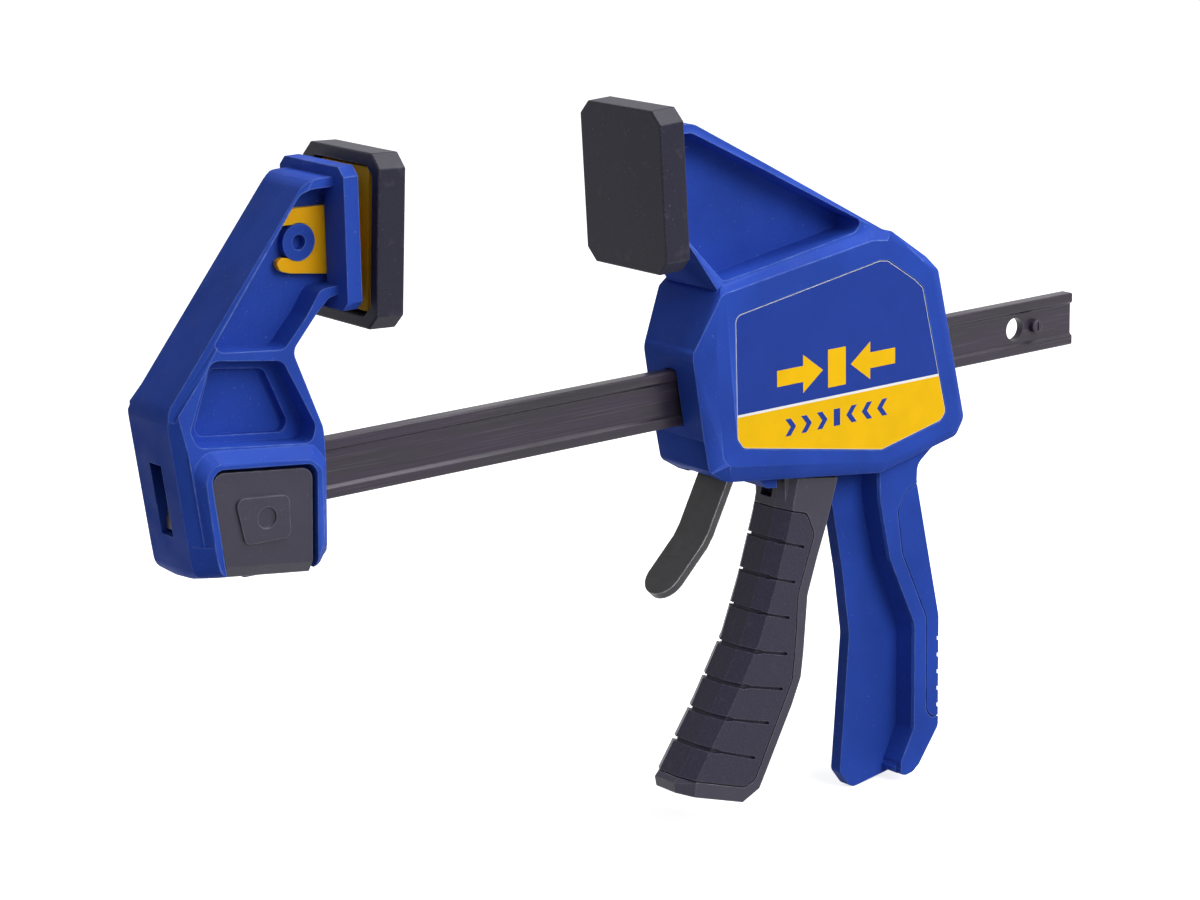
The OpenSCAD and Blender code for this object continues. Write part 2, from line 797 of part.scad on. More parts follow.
// Wedge along the front edge from a to b that leaves a bevel: wide across Y, deep behind the front.
module bevel_cut(a, b, half, wide, deep) {
    run = b - a;
    more = 0.4;
    translate([a[0], half, a[1]])
        rotate([0, atan2(run[0], run[1]), 0])
            translate([0, 0, -more])
                linear_extrude(norm(run) + 2 * more)
                    polygon([[2, 2 * wide / deep], [2, -wide - 2 * wide / deep],
                        [-deep - 2, 2 * wide / deep]]);
}

// Fork that straddles the bar from the grip up to the pin.
fork_rows = [
    [43.8, -36, 0], [46.8, -24, 3], [48.4, -14, 4], [pin_x - 8, 2, 0], [pin_x - 6.4, pin_z, 0],
    [pin_x, pin_z, 0], [pin_x - 0.4, nose_z, 0], [pin_x - 8, -17, 4], [57, -27, 3], [66, -36, 2],
    [64, -46, 0], [44, -46, 0]];
fork_in = bar_half + slip + 1;
fork_out = fork_in + 4;

// Room for the handle's web inside the trigger.
module trigger_channel() {
    across(2 * fork_in)
        polygon([[60, -12], [90, -12], [90, -53], [46, -53], [45, -48], [47, -36], [50, -30], [52, -12]]);
    across(2 * channel_half)
        polygon(concat([[75, -47]], moved([for (i = [1:4]) trig_front[i]], [trig_soft + trig_wall, 0]),
            [[11, -124], [20, -143], [24, -156], [75, -156]]));
}

// Grooves across the front and into both sides of the grip.
module trigger_grooves() {
    for (i = [0:grooves - 1]) {
        z = -56 - i * (78 / grooves);
        x = lookup(-z, [for (p = trig_front) [-p[1], p[0]]]);
        side_l = lookup(-z, [[56, 14], [80, 16], [100, 21], [126, 23]]);
        translate([x, 0, z])
            rotate([0, 19.5, 0]) {
                block([-3, -trig_half, -0.5], [0.7, trig_half, 0.5]);
                both_sides()
                    block([trig_bevel - 0.6, trig_half - 0.7, -0.5], [side_l, trig_half + 1, 0.5]);
            }
    }
}

module trigger_fork() {
    difference() {
        union() {
            slab(fork_rows, 2 * fork_out);
            cross_pin(pin_x, pin_z, eye_r, fork_out);
            cross_pin(pin_x - nose_r, nose_z, nose_r, fork_out);
        }
        block([30, -fork_in, -15.5], [80, fork_in, 40]);
    }
}

module trigger() {
    color(black)
        at_head()
            difference() {
                union() {
                    trigger_fork();
                    trigger_body(trig_core, trig_soft);
                    difference() {
                        trigger_body(trig_half, 0);
                        slab(trig_zone, 2 * trig_half + 2);
                    }
                }
                trigger_channel();
                // window in the front, below the head
                block([30, -3, -43], [47, 3, -38]);
                cross_pin(pin_x, pin_z, pin_r + running, 40);
            }
}

module trigger_grip() {
    color([0.2, 0.2, 0.23])
        at_head()
            difference() {
                intersection() {
                    trigger_body(trig_half, 0);
                    slab(trig_zone, 2 * trig_half + 2);
                }
                trigger_body(trig_core, trig_soft);
                trigger_grooves();
            }
}

// ---------------------------------------------------------------- drive

drive_top = 11.8;
drive_low = -14.5;

// Stamped plate number i: a frame round the bar.
module drive_plate(i) {
    x = drive_x + i * (drive_t + drive_gap);
    color(steel)
        at_head()
            difference() {
                block([x, -drive_half, drive_low], [x + drive_t, drive_half, drive_top + 1]);
                // corners cut back for the eyes of the trigger
                both_sides()
                    block([x - 1, fork_in - slip, drive_top],
                        [x + drive_t + 1, drive_half + 1, drive_top + 2]);
                bar_way(x - 1, x + drive_t + 1);
            }
}

module drive_plate_1() {
    drive_plate(0);
}

module drive_plate_2() {
    drive_plate(1);
}

module drive_plate_3() {
    drive_plate(2);
}

module spring_washer() {
    color(steel)
        at_head()
            difference() {
                translate([drive_end, 0, 0])
                    rotate([0, 90, 0])
                        cylinder(r = coil_r + coil_wire, h = washer_t);
                bar_way(drive_end - 1, drive_end + washer_t + 1);
            }
}

module drive_spring() {
    start = drive_end + washer_t + drive_travel + slip;
    color(steel)
        at_head()
            translate([start, 0, 0])
                coil(coil_r, coil_wire, rear_wall - start, 9);
}

// ---------------------------------------------------------------- release lever

lever_path = [[lever_x, lever_z], [22, -19], [20.6, -28.3], [9.4, -49.7], [6.6, -53.6], [-4.6, -64.4]];

module release_lever() {
    color(dark_steel)
        at_head()
            difference() {
                union() {
                    intersection() {
                        across(2 * lever_wide)
                            polygon(strip(lever_path, lever_t));
                        rotate([90, 0, 90])
                            linear_extrude(100, center = true)
                                polygon([[-lever_wide, 30], [-lever_wide, -21], [-lever_half, -27],
                                    [-lever_half, -80], [lever_half, -80], [lever_half, -27],
                                    [lever_wide, -21], [lever_wide, 30]]);
                    }
                    cross_pin(lever_x, lever_z, roll_r, lever_wide);
                    translate([lever_path[5][0], 0, lever_path[5][1]])
                        rotate([0, atan2(lever_path[4][0] - lever_path[5][0],
                            lever_path[4][1] - lever_path[5][1]) + 90, 0])
                            cylinder(r = lever_half, h = lever_t, center = true);
                }
                block([0, -tunnel_half, -rail_z - 1.1], [40, tunnel_half, rail_z + 0.7]);
            }
}

module release_spring() {
    color(steel)
        at_head()
            translate([release_x + 7 - 6.2, 0, release_z])
                coil(2.8, 0.4, 6.2, 5, per_turn = 12);
}

bar();
stop_pin();
fixed_jaw();
push_button();
lock_yoke();
button_spring();
swivel_carrier();
fixed_pad();
clamp_body();
handle_grip();
moving_pad();
label_left();
label_right();
trigger();
trigger_grip();
trigger_pin();
drive_plate_1();
drive_plate_2();
drive_plate_3();
spring_washer();
drive_spring();
release_lever();
release_spring();
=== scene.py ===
"""One-handed quick-release bar clamp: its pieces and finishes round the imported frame.

+X runs along the bar from the fixed jaw to the free end, +Y across it, +Z up to the pads.
Sizes are in millimetres unless they say metres; Blender works in metres.
"""

import logging
import math
from collections.abc import Callable, Sequence
from dataclasses import dataclass, field
from enum import Enum

import bpy
from mathutils import Matrix, Vector


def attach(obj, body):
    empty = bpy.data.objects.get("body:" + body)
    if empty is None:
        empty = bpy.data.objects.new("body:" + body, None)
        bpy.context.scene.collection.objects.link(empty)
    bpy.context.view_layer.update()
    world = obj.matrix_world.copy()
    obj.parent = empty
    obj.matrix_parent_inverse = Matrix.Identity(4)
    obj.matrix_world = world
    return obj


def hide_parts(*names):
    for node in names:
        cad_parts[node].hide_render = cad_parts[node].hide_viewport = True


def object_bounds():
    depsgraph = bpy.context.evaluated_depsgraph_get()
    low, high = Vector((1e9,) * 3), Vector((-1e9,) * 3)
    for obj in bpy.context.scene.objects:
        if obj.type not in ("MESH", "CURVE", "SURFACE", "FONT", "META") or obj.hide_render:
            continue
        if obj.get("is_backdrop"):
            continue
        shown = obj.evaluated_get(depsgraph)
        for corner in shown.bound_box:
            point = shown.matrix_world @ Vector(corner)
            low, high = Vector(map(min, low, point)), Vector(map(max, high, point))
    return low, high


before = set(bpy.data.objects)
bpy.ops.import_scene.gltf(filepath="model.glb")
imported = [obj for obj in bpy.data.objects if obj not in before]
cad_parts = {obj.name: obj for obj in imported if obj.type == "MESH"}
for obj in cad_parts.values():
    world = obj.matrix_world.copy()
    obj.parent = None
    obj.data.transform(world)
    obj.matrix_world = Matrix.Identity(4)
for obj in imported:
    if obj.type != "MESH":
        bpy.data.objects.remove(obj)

LOG = logging.getLogger("bar_clamp")
MM = 0.001
TOUCH = 1e-6  # metres within which two places are one
ASKEW = (0.71, -1.13, 0.97)  # place off every plane of symmetry, metres
SMOOTH = 32  # bend up to which faces are shaded as one, degrees
HEAD_X = -164.0  # front face of the moving head
JAW_X = -318.8  # pad side of the fixed jaw's block
Place = tuple[float, float, float]
Rows = Sequence[Place]  # in an outline: two places and the corner's radius
Outline = Sequence[tuple[float, float]]
Piece = bpy.types.Object
Tree = bpy.types.NodeTree
Socket = bpy.types.NodeSocket


class Body(str, Enum):
    """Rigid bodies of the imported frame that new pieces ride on."""

    ROOT = "root"
    SWIVEL = "swivel"
    BUTTON = "button"
    HEAD = "head"
    TRIGGER = "trigger"
    LEVER = "lever"


class Slot(str, Enum):
    """Names of material slots."""

    BAR = "bar_steel"
    BRIGHT = "bright_steel"
    PLATE = "plate_steel"
    LEVER = "lever_steel"
    BLUE = "blue_nylon"
    SOFT_BLUE = "soft_blue"
    BLACK = "black_nylon"
    SOFT_BLACK = "soft_black"
    AMBER = "amber_nylon"
    PAD = "pad_rubber"
    LABEL = "label_film"


class Boolean(str, Enum):
    """What a second shape does to the first."""

    CUT = "DIFFERENCE"
    JOIN = "UNION"
    KEEP = "INTERSECT"


class Axis(Enum):
    """Axis that a plate is extruded along."""

    X = 0
    Y = 1


# ------------------------------------------------------------------ colour and nodes


def linear(code: str, gain: float = 1.0) -> tuple[float, ...]:
    """Turns an sRGB hex colour into the linear values that Blender works in.

    Args:
        code: Six hex digits with a leading hash.
        gain: Deepens or lightens the colour.

    Returns:
        Red, green, blue and full alpha.
    """
    parts = [int(code[i:i + 2], 16) / 255 for i in (1, 3, 5)]
    return (*[gain * (p / 12.92 if p <= 0.04045 else ((p + 0.055) / 1.055) ** 2.4) for p in parts], 1.0)


def add(tree: Tree, kind: str, feeds: dict | Sequence = (), out: int | str = 0, **settings) -> Socket | None:
    """Adds one shader node with its settings and links.

    Args:
        tree: Node tree of the material or world.
        kind: Node type, without its ShaderNode prefix.
        feeds: Values or outputs that feed its inputs, by name or number, or in order from the first.
        out: Name or number of the output to return.
        **settings: The node's own properties.

    Returns:
        That output, or nothing from a node that has none.
    """
    node = tree.nodes.new("ShaderNode" + kind)
    for key, value in settings.items():
        setattr(node, key, value)
    for key, value in feeds.items() if isinstance(feeds, dict) else enumerate(feeds):
        if isinstance(value, Socket):
            tree.links.new(value, node.inputs[key])
        else:
            node.inputs[key].default_value = value
    return node.outputs[out] if node.outputs else None


@dataclass(frozen=True)
class Finish:
    """What every finish shares.

    Attributes:
        name: Name of the material.
        colour: Base colour, sRGB hex.
        roughness: Mean roughness.
        edge_mm: Radius that the shader rounds sharp edges by.
        grain_mm: Size of the surface's grain.
        grain_depth_mm: Height of that grain.
    """

    name: str
    colour: str
    roughness: float = 0.5
    edge_mm: float = 0.5
    grain_mm: float = 0.5
    grain_depth_mm: float = 0.02

    def material(self) -> bpy.types.Material:
        """Builds the material once and returns it afterwards.

        Returns:
            The material.
        """
        made = bpy.data.materials.get(self.name)
        if made is None:
            made = bpy.data.materials.new(self.name)
            made.use_nodes = True
            made.node_tree.nodes.clear()
            made.diffuse_color = linear(self.colour)
            self.build(made.node_tree)
        return made

    def build(self, tree: Tree) -> None:
        """Fills the node tree; each finish has its own."""
        raise NotImplementedError

    def grain(self, tree: Tree, size_mm: float, detail: float = 2.0, stretch: Place = (1, 1, 1),
              rough: float = 0.5) -> Socket:
        """Noise in the piece's own coordinates whose features have a real size.

        Args:
            tree: Node tree.
            size_mm: Size of one feature.
            detail: Octaves.
            stretch: How many times longer the features are along X, Y and Z.
            rough: Weight of the finer octaves.

        Returns:
            The noise factor.
        """
        at = add(tree, "Mapping", {0: add(tree, "TexCoord", out="Object"), 3: [1 / s for s in stretch]})
        return add(tree, "TexNoise", {"Vector": at, "Scale": 1 / (size_mm * MM), "Detail": detail,
                                      "Roughness": rough})

    def patches(self, tree: Tree, size_mm: float, low: float, high: float, start: float = 0.0,
                end: float = 1.0, **pattern) -> Socket:
        """Mask that is start where the grain is under low, and end where it is over high."""
        return add(tree, "MapRange", [self.grain(tree, size_mm, **pattern), low, high, start, end])

    def wear_and_highlight_edges(self, tree: Tree, reach_mm: float, where: Socket) -> Socket:
        """Mask of the outer edges, for real edge wear and a painted edge highlight in one, 0 on the flats and
        in the hollows between them.

        Args:
            tree: Node tree.
            reach_mm: How far the wear and the painted highlight reach in from an edge.
            where: Mask that breaks it up.

        Returns:
            The mask.
        """
        soft = add(tree, "Bevel", {"Radius": reach_mm * MM}, samples=4)
        match = add(tree, "VectorMath", [soft, add(tree, "NewGeometry", out="Normal")], "Value",
                    operation="DOT_PRODUCT")
        sharp = add(tree, "MapRange", [match, 0.995, 0.9])
        free = add(tree, "AmbientOcclusion", {"Distance": 2 * reach_mm * MM}, "AO", samples=4)
        outer = add(tree, "Math", [sharp, add(tree, "MapRange", [free, 0.72, 0.92])], operation="MULTIPLY")
        return add(tree, "Math", [outer, where], operation="MULTIPLY")

    def coats(self, tree: Tree, colour: tuple[float, ...], *over: tuple[Socket, tuple[float, ...]]) -> Socket:
        """Lays colours over a first one, each as far as its mask says.

        Args:
            tree: Node tree.
            colour: The first colour.
            *over: Mask and colour of each coat.

        Returns:
            The colour that comes out.
        """
        for mask, coat in over:
            colour = add(tree, "Mix", {0: mask, 6: colour, 7: coat}, 2, data_type="RGBA")
        return colour

    def output(self, tree: Tree, colour: Socket, rough: Socket | float, relief: Socket, **feeds) -> None:
        """Ends the tree in a Principled shader with rounded edges and the grain's relief.

        Args:
            tree: Node tree.
            colour: Base colour.
            rough: Roughness.
            relief: Height of the grain, from 0 to 1.
            **feeds: Other inputs of the shader, with underscores for spaces.
        """
        rounded = add(tree, "Bevel", {"Radius": self.edge_mm * MM}, samples=4)
        normal = add(tree, "Bump", {"Height": relief, "Normal": rounded, "Distance": self.grain_depth_mm * MM,
                                    "Strength": 1.0})
        more = {key.replace("_", " "): value for key, value in feeds.items()}
        add(tree, "OutputMaterial", [add(tree, "BsdfPrincipled", {"Base Color": colour, "Roughness": rough,
                                                                  "Normal": normal, **more})])


@dataclass(frozen=True)
class MouldedNylon(Finish):
    """Glass-filled nylon from a spark-eroded mould: fine even grain, soft sheen, faint pale scuffs and a
    painted highlight on edges.

    Attributes:
        scuff_and_highlight_colour: Colour of the scuffs and the painted edge highlight, sRGB hex.
        scuff_and_highlight: How strong the scuffs and the painted edge highlight are.
        cloud: How much the colour varies over the moulding.
        dust: How strong the specks of dust are.
        shine: Specular level.
        glow: How much light travels under the surface.
    """

    scuff_and_highlight_colour: str = "#5A78C4"
    scuff_and_highlight: float = 0.5
    cloud: float = 0.12
    dust: float = 0.3
    shine: float = 0.1
    glow: float = 0.0

    def build(self, tree: Tree) -> None:
        """Cloudy base colour, eroded grain, pale edges of wear and painted highlight.

        Args:
            tree: Node tree.
        """
        # flow clouds of filler, 30 mm across
        cloud = self.patches(tree, 30, 0.35, 0.65, detail=3)
        # grain of the eroded mould; drawn at about twice its true size so that it shows
        fine = self.grain(tree, self.grain_mm, rough=0.6)
        speck = add(tree, "MapRange", [fine, 0.62, 0.8, 0.0, 0.18])
        # dust specks of about half a millimetre, gathered in places
        grit = add(tree, "Math", [self.patches(tree, 1.1, 0.74, 0.8, detail=1),
                                  self.patches(tree, 25, 0.4, 0.65, 0.2, self.dust)], operation="MULTIPLY")
        # pale outer edges: part real wear, part painted edge highlight
        broken = self.patches(tree, 4, 0.35, 0.65, 0.35 * self.scuff_and_highlight, self.scuff_and_highlight, detail=4)
        pale = linear(self.scuff_and_highlight_colour)
        colour = self.coats(tree, linear(self.colour, 1 - self.cloud),
                            (cloud, linear(self.colour, 1 + self.cloud)), (speck, pale), (grit, pale),
                            (self.wear_and_highlight_edges(tree, 0.7, broken), pale))
        rough = self.patches(tree, 9, 0.3, 0.7, self.roughness - 0.06, self.roughness + 0.08, detail=3)
        self.output(tree, colour, rough, fine, IOR=1.5, Specular_IOR_Level=self.shine,
                    Subsurface_Weight=self.glow, Subsurface_Scale=0.005)


@dataclass(frozen=True)
class SoftSkin(Finish):
    """Soft elastomer moulded over nylon: matte, with a little dust and a faint sheen at grazing angles.

    Attributes:
        dust_and_highlight_colour: Colour of dust, rub marks and the painted edge highlight, sRGB hex.
        dust: How much of it there is.
    """

    dust_and_highlight_colour: str = "#6C6A74"
    dust: float = 0.35

    def build(self, tree: Tree) -> None:
        """Matte base with specks of dust, pale edges of dust and painted highlight, and fine grain.

        Args:
            tree: Node tree.
        """
        fine = self.grain(tree, self.grain_mm, rough=0.65)
        # dust specks of about 0.3 mm, rub marks of some 5 mm, and a broken pale coat on the outer edges,
        # partly dust and partly painted edge highlight
        speck = self.patches(tree, 0.7, 0.74, 0.8, 0.0, 0.8 * self.dust, detail=1)
        rub = self.patches(tree, 5, 0.6, 0.9, 0.0, 0.25 * self.dust, detail=5)
        edge = self.wear_and_highlight_edges(tree, 0.7, self.patches(tree, 0.9, 0.45, 0.62, 0.225 * self.dust, 0.9 * self.dust,
                                                 detail=3))
        marks = add(tree, "Math", [add(tree, "Math", [speck, rub], operation="ADD"), edge], operation="ADD")
        leather = add(tree, "MapRange", [fine, 0.42, 0.66])
        colour = self.coats(tree, linear(self.colour), (leather, linear(self.colour, 1.35)),
                            (marks, linear(self.dust_and_highlight_colour)))
        self.output(tree, colour, self.roughness, fine, IOR=1.5, Specular_IOR_Level=0.18)


@dataclass(frozen=True)
class CoatedBar(Finish):
    """Cold-drawn steel with a dark baked coating: long drawing lines, mottling and bright edges, part bare
    metal and part painted highlight.

    Attributes:
        bare_metal_and_highlight: Colour of the bare drawing lines and of the bright edges, part bare metal
            and part painted highlight, sRGB hex.
        mottled: Colour of the mottling, sRGB hex.
    """

    bare_metal_and_highlight: str = "#8D8890"
    mottled: str = "#211E24"

    def build(self, tree: Tree) -> None:
        """Drawing lines along X over blotches of a few millimetres.

        Args:
            tree: Node tree.
        """
        # lines some 0.35 mm wide and 60 mm long
        lines = self.grain(tree, 0.35, 3, (160, 1, 1), 0.7)
        blotch = self.grain(tree, 6, 4, (9, 1, 1))
        dark, bare = linear(self.mottled), linear(self.bare_metal_and_highlight)
        colour = self.coats(
            tree, dark, (add(tree, "MapRange", [blotch, 0.3, 0.6, 0.35, 1.0]), linear(self.colour)),
            (add(tree, "MapRange", [lines, 0.58, 0.8, 0.0, 0.45]), bare),
            (self.patches(tree, 1.4, 0.3, 0.45, 0.45, 0.0, stretch=(60, 1, 1)), dark),
            # bright edges: bare metal where the coating wears through, and a painted edge highlight
            (self.wear_and_highlight_edges(tree, 0.5, self.patches(tree, 3, 0.35, 0.7, 0.1, 0.75, detail=4)), bare))
        rough = add(tree, "MapRange", [blotch, 0.35, 0.7, self.roughness - 0.08, self.roughness + 0.12])
        self.output(tree, colour, rough, lines, Metallic=0.1, IOR=1.5, Specular_IOR_Level=0.3)


@dataclass(frozen=True)
class PlainSteel(Finish):
    """Steel as rolled, drawn or oxidised, with scratches and brighter edges, part wear and part painted
    highlight.

    Attributes:
        bright: Colour of its edges, where wear and a painted highlight lie, sRGB hex.
        edge_wear_and_highlight: How strong the wear and the painted highlight on the edges are.
        metallic: Share of bare metal.
    """

    bright: str = "#B9B7B4"
    edge_wear_and_highlight: float = 0.6
    metallic: float = 1.0

    def build(self, tree: Tree) -> None:
        """Blotches, fine scratches and bright edges of wear and painted highlight.

        Args:
            tree: Node tree.
        """
        scratch = self.grain(tree, 0.4, 3, (1, 20, 1), 0.7)
        edge = self.patches(tree, 2.5, 0.3, 0.6, 0.4 * self.edge_wear_and_highlight, self.edge_wear_and_highlight, detail=3)
        colour = self.coats(tree, linear(self.colour, 0.7),
                            (self.patches(tree, 4, 0.35, 0.65, detail=4), linear(self.colour)),
                            # edges lighter with wear and a painted edge highlight
                            (self.wear_and_highlight_edges(tree, 0.7, edge), linear(self.bright)))
        rough = add(tree, "MapRange", [scratch, 0.3, 0.7, self.roughness - 0.08, self.roughness + 0.1])
        self.output(tree, colour, rough, scratch, Metallic=self.metallic)


@dataclass(frozen=True)
class PrintedFilm(Finish):
    """Printed polyester film: smooth, with the faint orange peel of its adhesive and even ink."""

    def build(self, tree: Tree) -> None:
        """Even ink with slight waviness.

        Args:
            tree: Node tree.
        """
        colour = self.coats(tree, linear(self.colour, 0.93),
                            (self.patches(tree, 12, 0.35, 0.65, detail=3), linear(self.colour)))
        rough = self.patches(tree, 5, 0.3, 0.7, self.roughness - 0.04, self.roughness + 0.06, detail=3)
        self.output(tree, colour, rough, self.grain(tree, self.grain_mm), IOR=1.5, Specular_IOR_Level=0.12)


# dull satin mouldings whose pale edges, part wear and part painted highlight, catch the eye; the amber one
# lets light through
BLUE = MouldedNylon("glass_filled_nylon_blue", "#294AAD", 0.58, 0.4, 0.5, 0.02, scuff_and_highlight_colour="#86A2E6",
                    scuff_and_highlight=0.62)
BLUE_SKIN = MouldedNylon("soft_overmould_blue", "#2748AA", 0.55, 0.4, 0.7, 0.05, scuff_and_highlight_colour="#7C99E2",
                         scuff_and_highlight=0.4)
BLACK = MouldedNylon("glass_filled_nylon_charcoal", "#312E3F", 0.4, 0.4, 0.5, 0.03, scuff_and_highlight_colour="#9A98A2",
                     scuff_and_highlight=0.6, cloud=0.08, shine=0.3)
AMBER = MouldedNylon("nylon_amber", "#FFB412", 0.4, 0.4, 0.4, 0.01, scuff_and_highlight_colour="#F8D27A", scuff_and_highlight=0.4, cloud=0.06,
                     dust=0.0, glow=0.35)
# soft grips with a leathery grain, and smoother pads
BLACK_SKIN = SoftSkin("soft_overmould_charcoal", "#2D2A3B", 0.45, 0.25, 0.8, 0.12, dust_and_highlight_colour="#8E8C97", dust=0.4)
PAD = SoftSkin("elastomer_pad", "#1D1B2C", 0.42, 0.4, 0.5, 0.02, dust_and_highlight_colour="#A3A1AB", dust=0.4)
# dark drawn bar, bright small parts, grey stampings, and a dark blade with paler sheared edges; the bright
# lines along all their edges are part wear and part painted highlight
BAR = CoatedBar("coated_drawn_steel", "#342C3B", 0.36, 0.3, 0.35, 0.014)
BRIGHT = PlainSteel("zinc_plated_steel", "#B4B4B2", 0.32, 0.3, grain_depth_mm=0.004, bright="#D8D6D2")
PLATE = PlainSteel("stamped_steel", "#85838A", 0.38, 0.3, grain_depth_mm=0.006)
OXIDE = PlainSteel("oxidised_sheet_steel", "#272529", 0.4, 0.5, grain_depth_mm=0.006, bright="#B5B3B4",
                   edge_wear_and_highlight=0.75, metallic=0.35)
SHEARED = PlainSteel("sheared_sheet_edge", "#333136", 0.36, 0.3, grain_depth_mm=0.008, bright="#D8D6D4",
                     edge_wear_and_highlight=0.85, metallic=0.4)
# flat, slightly glossy inks: the field, the band and its marks, and white, which also paints a highlight
# round the film's cut edge
INKS = [PrintedFilm(f"printed_film_{name}", code, 0.4, 0.15, 0.8, 0.002)
        for name, code in (("blue", "#1F3E9C"), ("yellow", "#FFC80A"), ("white", "#FAFAF8"))]


# ------------------------------------------------------------------ modelling by hand


def alone(*objs: Piece) -> None:
    """Selects only these objects and makes the first one active.

    Args:
        *objs: The objects.
    """
    bpy.ops.object.select_all(action="DESELECT")
    for obj in objs:
        obj.select_set(True)
    bpy.context.view_layer.objects.active = objs[0]


def in_edit(obj: Piece, work: Callable[[], None]) -> None:
    """Runs mesh operators on all of an object's mesh.

    Args:
        obj: Object to edit.
        work: Calls the operators; everything is selected when it starts.
    """
    alone(obj)
    bpy.ops.object.mode_set(mode="EDIT")
    bpy.ops.mesh.select_mode(type="FACE")
    bpy.ops.mesh.select_all(action="SELECT")
    work()
    bpy.ops.object.mode_set(mode="OBJECT")


def modify(obj: Piece, kind: str, **settings) -> None:
    """Adds a modifier, sets it and applies it.

    Args:
        obj: Object to change.
        kind: Modifier type.
        **settings: The modifier's properties.
    """
    alone(obj)
    step = obj.modifiers.new(kind.lower(), kind)
    for key, value in settings.items():
        setattr(step, key, value)
    bpy.ops.object.modifier_apply(modifier=step.name)


def combine(obj: Piece, other: Piece, how: Boolean = Boolean.CUT) -> None:
    """Joins, cuts or intersects obj with other, and removes other.

    Args:
        obj: Object that stays.
        other: Object that is used up.
        how: What other does to obj.
    """
    modify(obj, "BOOLEAN", operation=how.value, object=other, solver="EXACT")
    spent = other.data
    bpy.data.objects.remove(other)
    bpy.data.meshes.remove(spent)
    # the solver leaves corners, edges and faces in any order, and later roundings depend on it
    cursor = bpy.context.scene.cursor
    cursor.location = ASKEW
    in_edit(obj, lambda: bpy.ops.mesh.sort_elements(type="CURSOR_DISTANCE",
                                                    elements={"VERT", "EDGE", "FACE"}))
    cursor.location = (0, 0, 0)


def soften(obj: Piece, width: float, steps: int = 2, angle: float = 28) -> None:
    """Rounds the edges that bend by more than an angle.

    Args:
        obj: Object to change.
        width: Width of the rounding.
        steps: Faces across it.
        angle: Smallest bend that counts as an edge, degrees.
    """
    modify(obj, "BEVEL", width=width * MM, segments=steps, limit_method="ANGLE",
           angle_limit=math.radians(angle), use_clamp_overlap=True, harden_normals=False)


def tidy(obj: Piece, flat: float = 0.6) -> None:
    """Merges doubles and dissolves what lies in one plane.

    Args:
        obj: Object to change.
        flat: Bend that still counts as one plane, degrees.
    """
    def work() -> None:
        """Merge, then dissolve."""
        bpy.ops.mesh.remove_doubles(threshold=2 * TOUCH)
        bpy.ops.mesh.dissolve_limited(angle_limit=math.radians(flat))

    in_edit(obj, work)


def rectangle(x0: float, x1: float, z0: float, z1: float) -> Outline:
    """Outline of a rectangle."""
    return [(x0, z0), (x1, z0), (x1, z1), (x0, z1)]


def shifted(shape: Outline, dx: float, dz: float = 0.0) -> Outline:
    """Moves an outline."""
    return [(x + dx, z + dz) for x, z in shape]


def corner(a: Vector, b: Vector, c: Vector, want: float, steps: int) -> Outline:
    """Arc that rounds a corner of an outline.

    Args:
        a: Point before the corner.
        b: The corner.
        c: Point after it.
        want: Radius; a short side takes a smaller one.
        steps: Pieces of the arc.

    Returns:
        The arc's points.
    """
    u, v = (a - b).normalized(), (c - b).normalized()
    half = math.acos(max(-1.0, min(1.0, u.dot(v)))) / 2
    r = min(want, 0.48 * min((a - b).length, (c - b).length) * math.tan(half))
    centre = b + (u + v).normalized() * (r / math.sin(half))
    p, q = b + u * (r / math.tan(half)) - centre, b + v * (r / math.tan(half)) - centre
    return [tuple(centre + (p * (1 - i / steps) + q * i / steps).normalized() * r) for i in range(steps + 1)]


def outline(rows: Rows, steps: int = 6) -> Outline:
    """Closed outline with rounded corners.

    Args:
        rows: First place, second place and radius of each corner.
        steps: Pieces of each rounded corner.

    Returns:
        The outline's points.
    """
    points = []
    for i, (x, z, r) in enumerate(rows):
        a, b, c = Vector(rows[i - 1][:2]), Vector((x, z)), Vector(rows[(i + 1) % len(rows)][:2])
        points += [(x, z)] if r == 0 else corner(a, b, c, r, steps)
    return points


def plate(name: str, shape: Outline, start: float, end: float, along: Axis = Axis.Y) -> Piece:
    """Cuts a plate to an outline: a filled circle is shaped to it and extruded.

    Args:
        name: Name of the piece.
        shape: Outline in X and Z for a plate across Y, in Y and Z for one along X.
        start: One face of the plate.
        end: The other face.
        along: Axis that it is extruded along.

    Returns:
        The new object.
    """
    low, high = sorted((start, end))
    bpy.ops.object.select_all(action="DESELECT")
    bpy.ops.mesh.primitive_circle_add(vertices=len(shape), fill_type="NGON")
    obj = bpy.context.object
    obj.name = obj.data.name = name
    for vertex, (a, b) in zip(obj.data.vertices, shape):
        vertex.co = Vector((a, low, b) if along is Axis.Y else (low, a, b)) * MM
    step = Vector((0, 0, 0))
    step[along.value] = (high - low) * MM

    def work() -> None:
        """Extrude the face and turn the normals out."""
        bpy.ops.mesh.extrude_region_move(TRANSFORM_OT_translate={"value": step})
        bpy.ops.mesh.select_all(action="SELECT")
        bpy.ops.mesh.normals_make_consistent(inside=False)

    in_edit(obj, work)
    return obj


def rod(name: str, x: float, radius: float, half: float) -> Piece:
    """Turned rod across Y with its place in its mesh.

    Args:
        name: Name of the piece.
        x: Where its axis crosses the bar's.
        radius: Radius.
        half: Half its length.

    Returns:
        The new object.
    """
    bpy.ops.object.select_all(action="DESELECT")
    bpy.ops.mesh.primitive_cylinder_add(vertices=48, radius=radius * MM, depth=2 * half * MM,
                                        location=Vector((x, 0, 0)) * MM, rotation=(math.pi / 2, 0, 0))
    obj = bpy.context.object
    obj.name = obj.data.name = name
    bpy.ops.object.transform_apply(location=True, rotation=True, scale=True)
    return obj


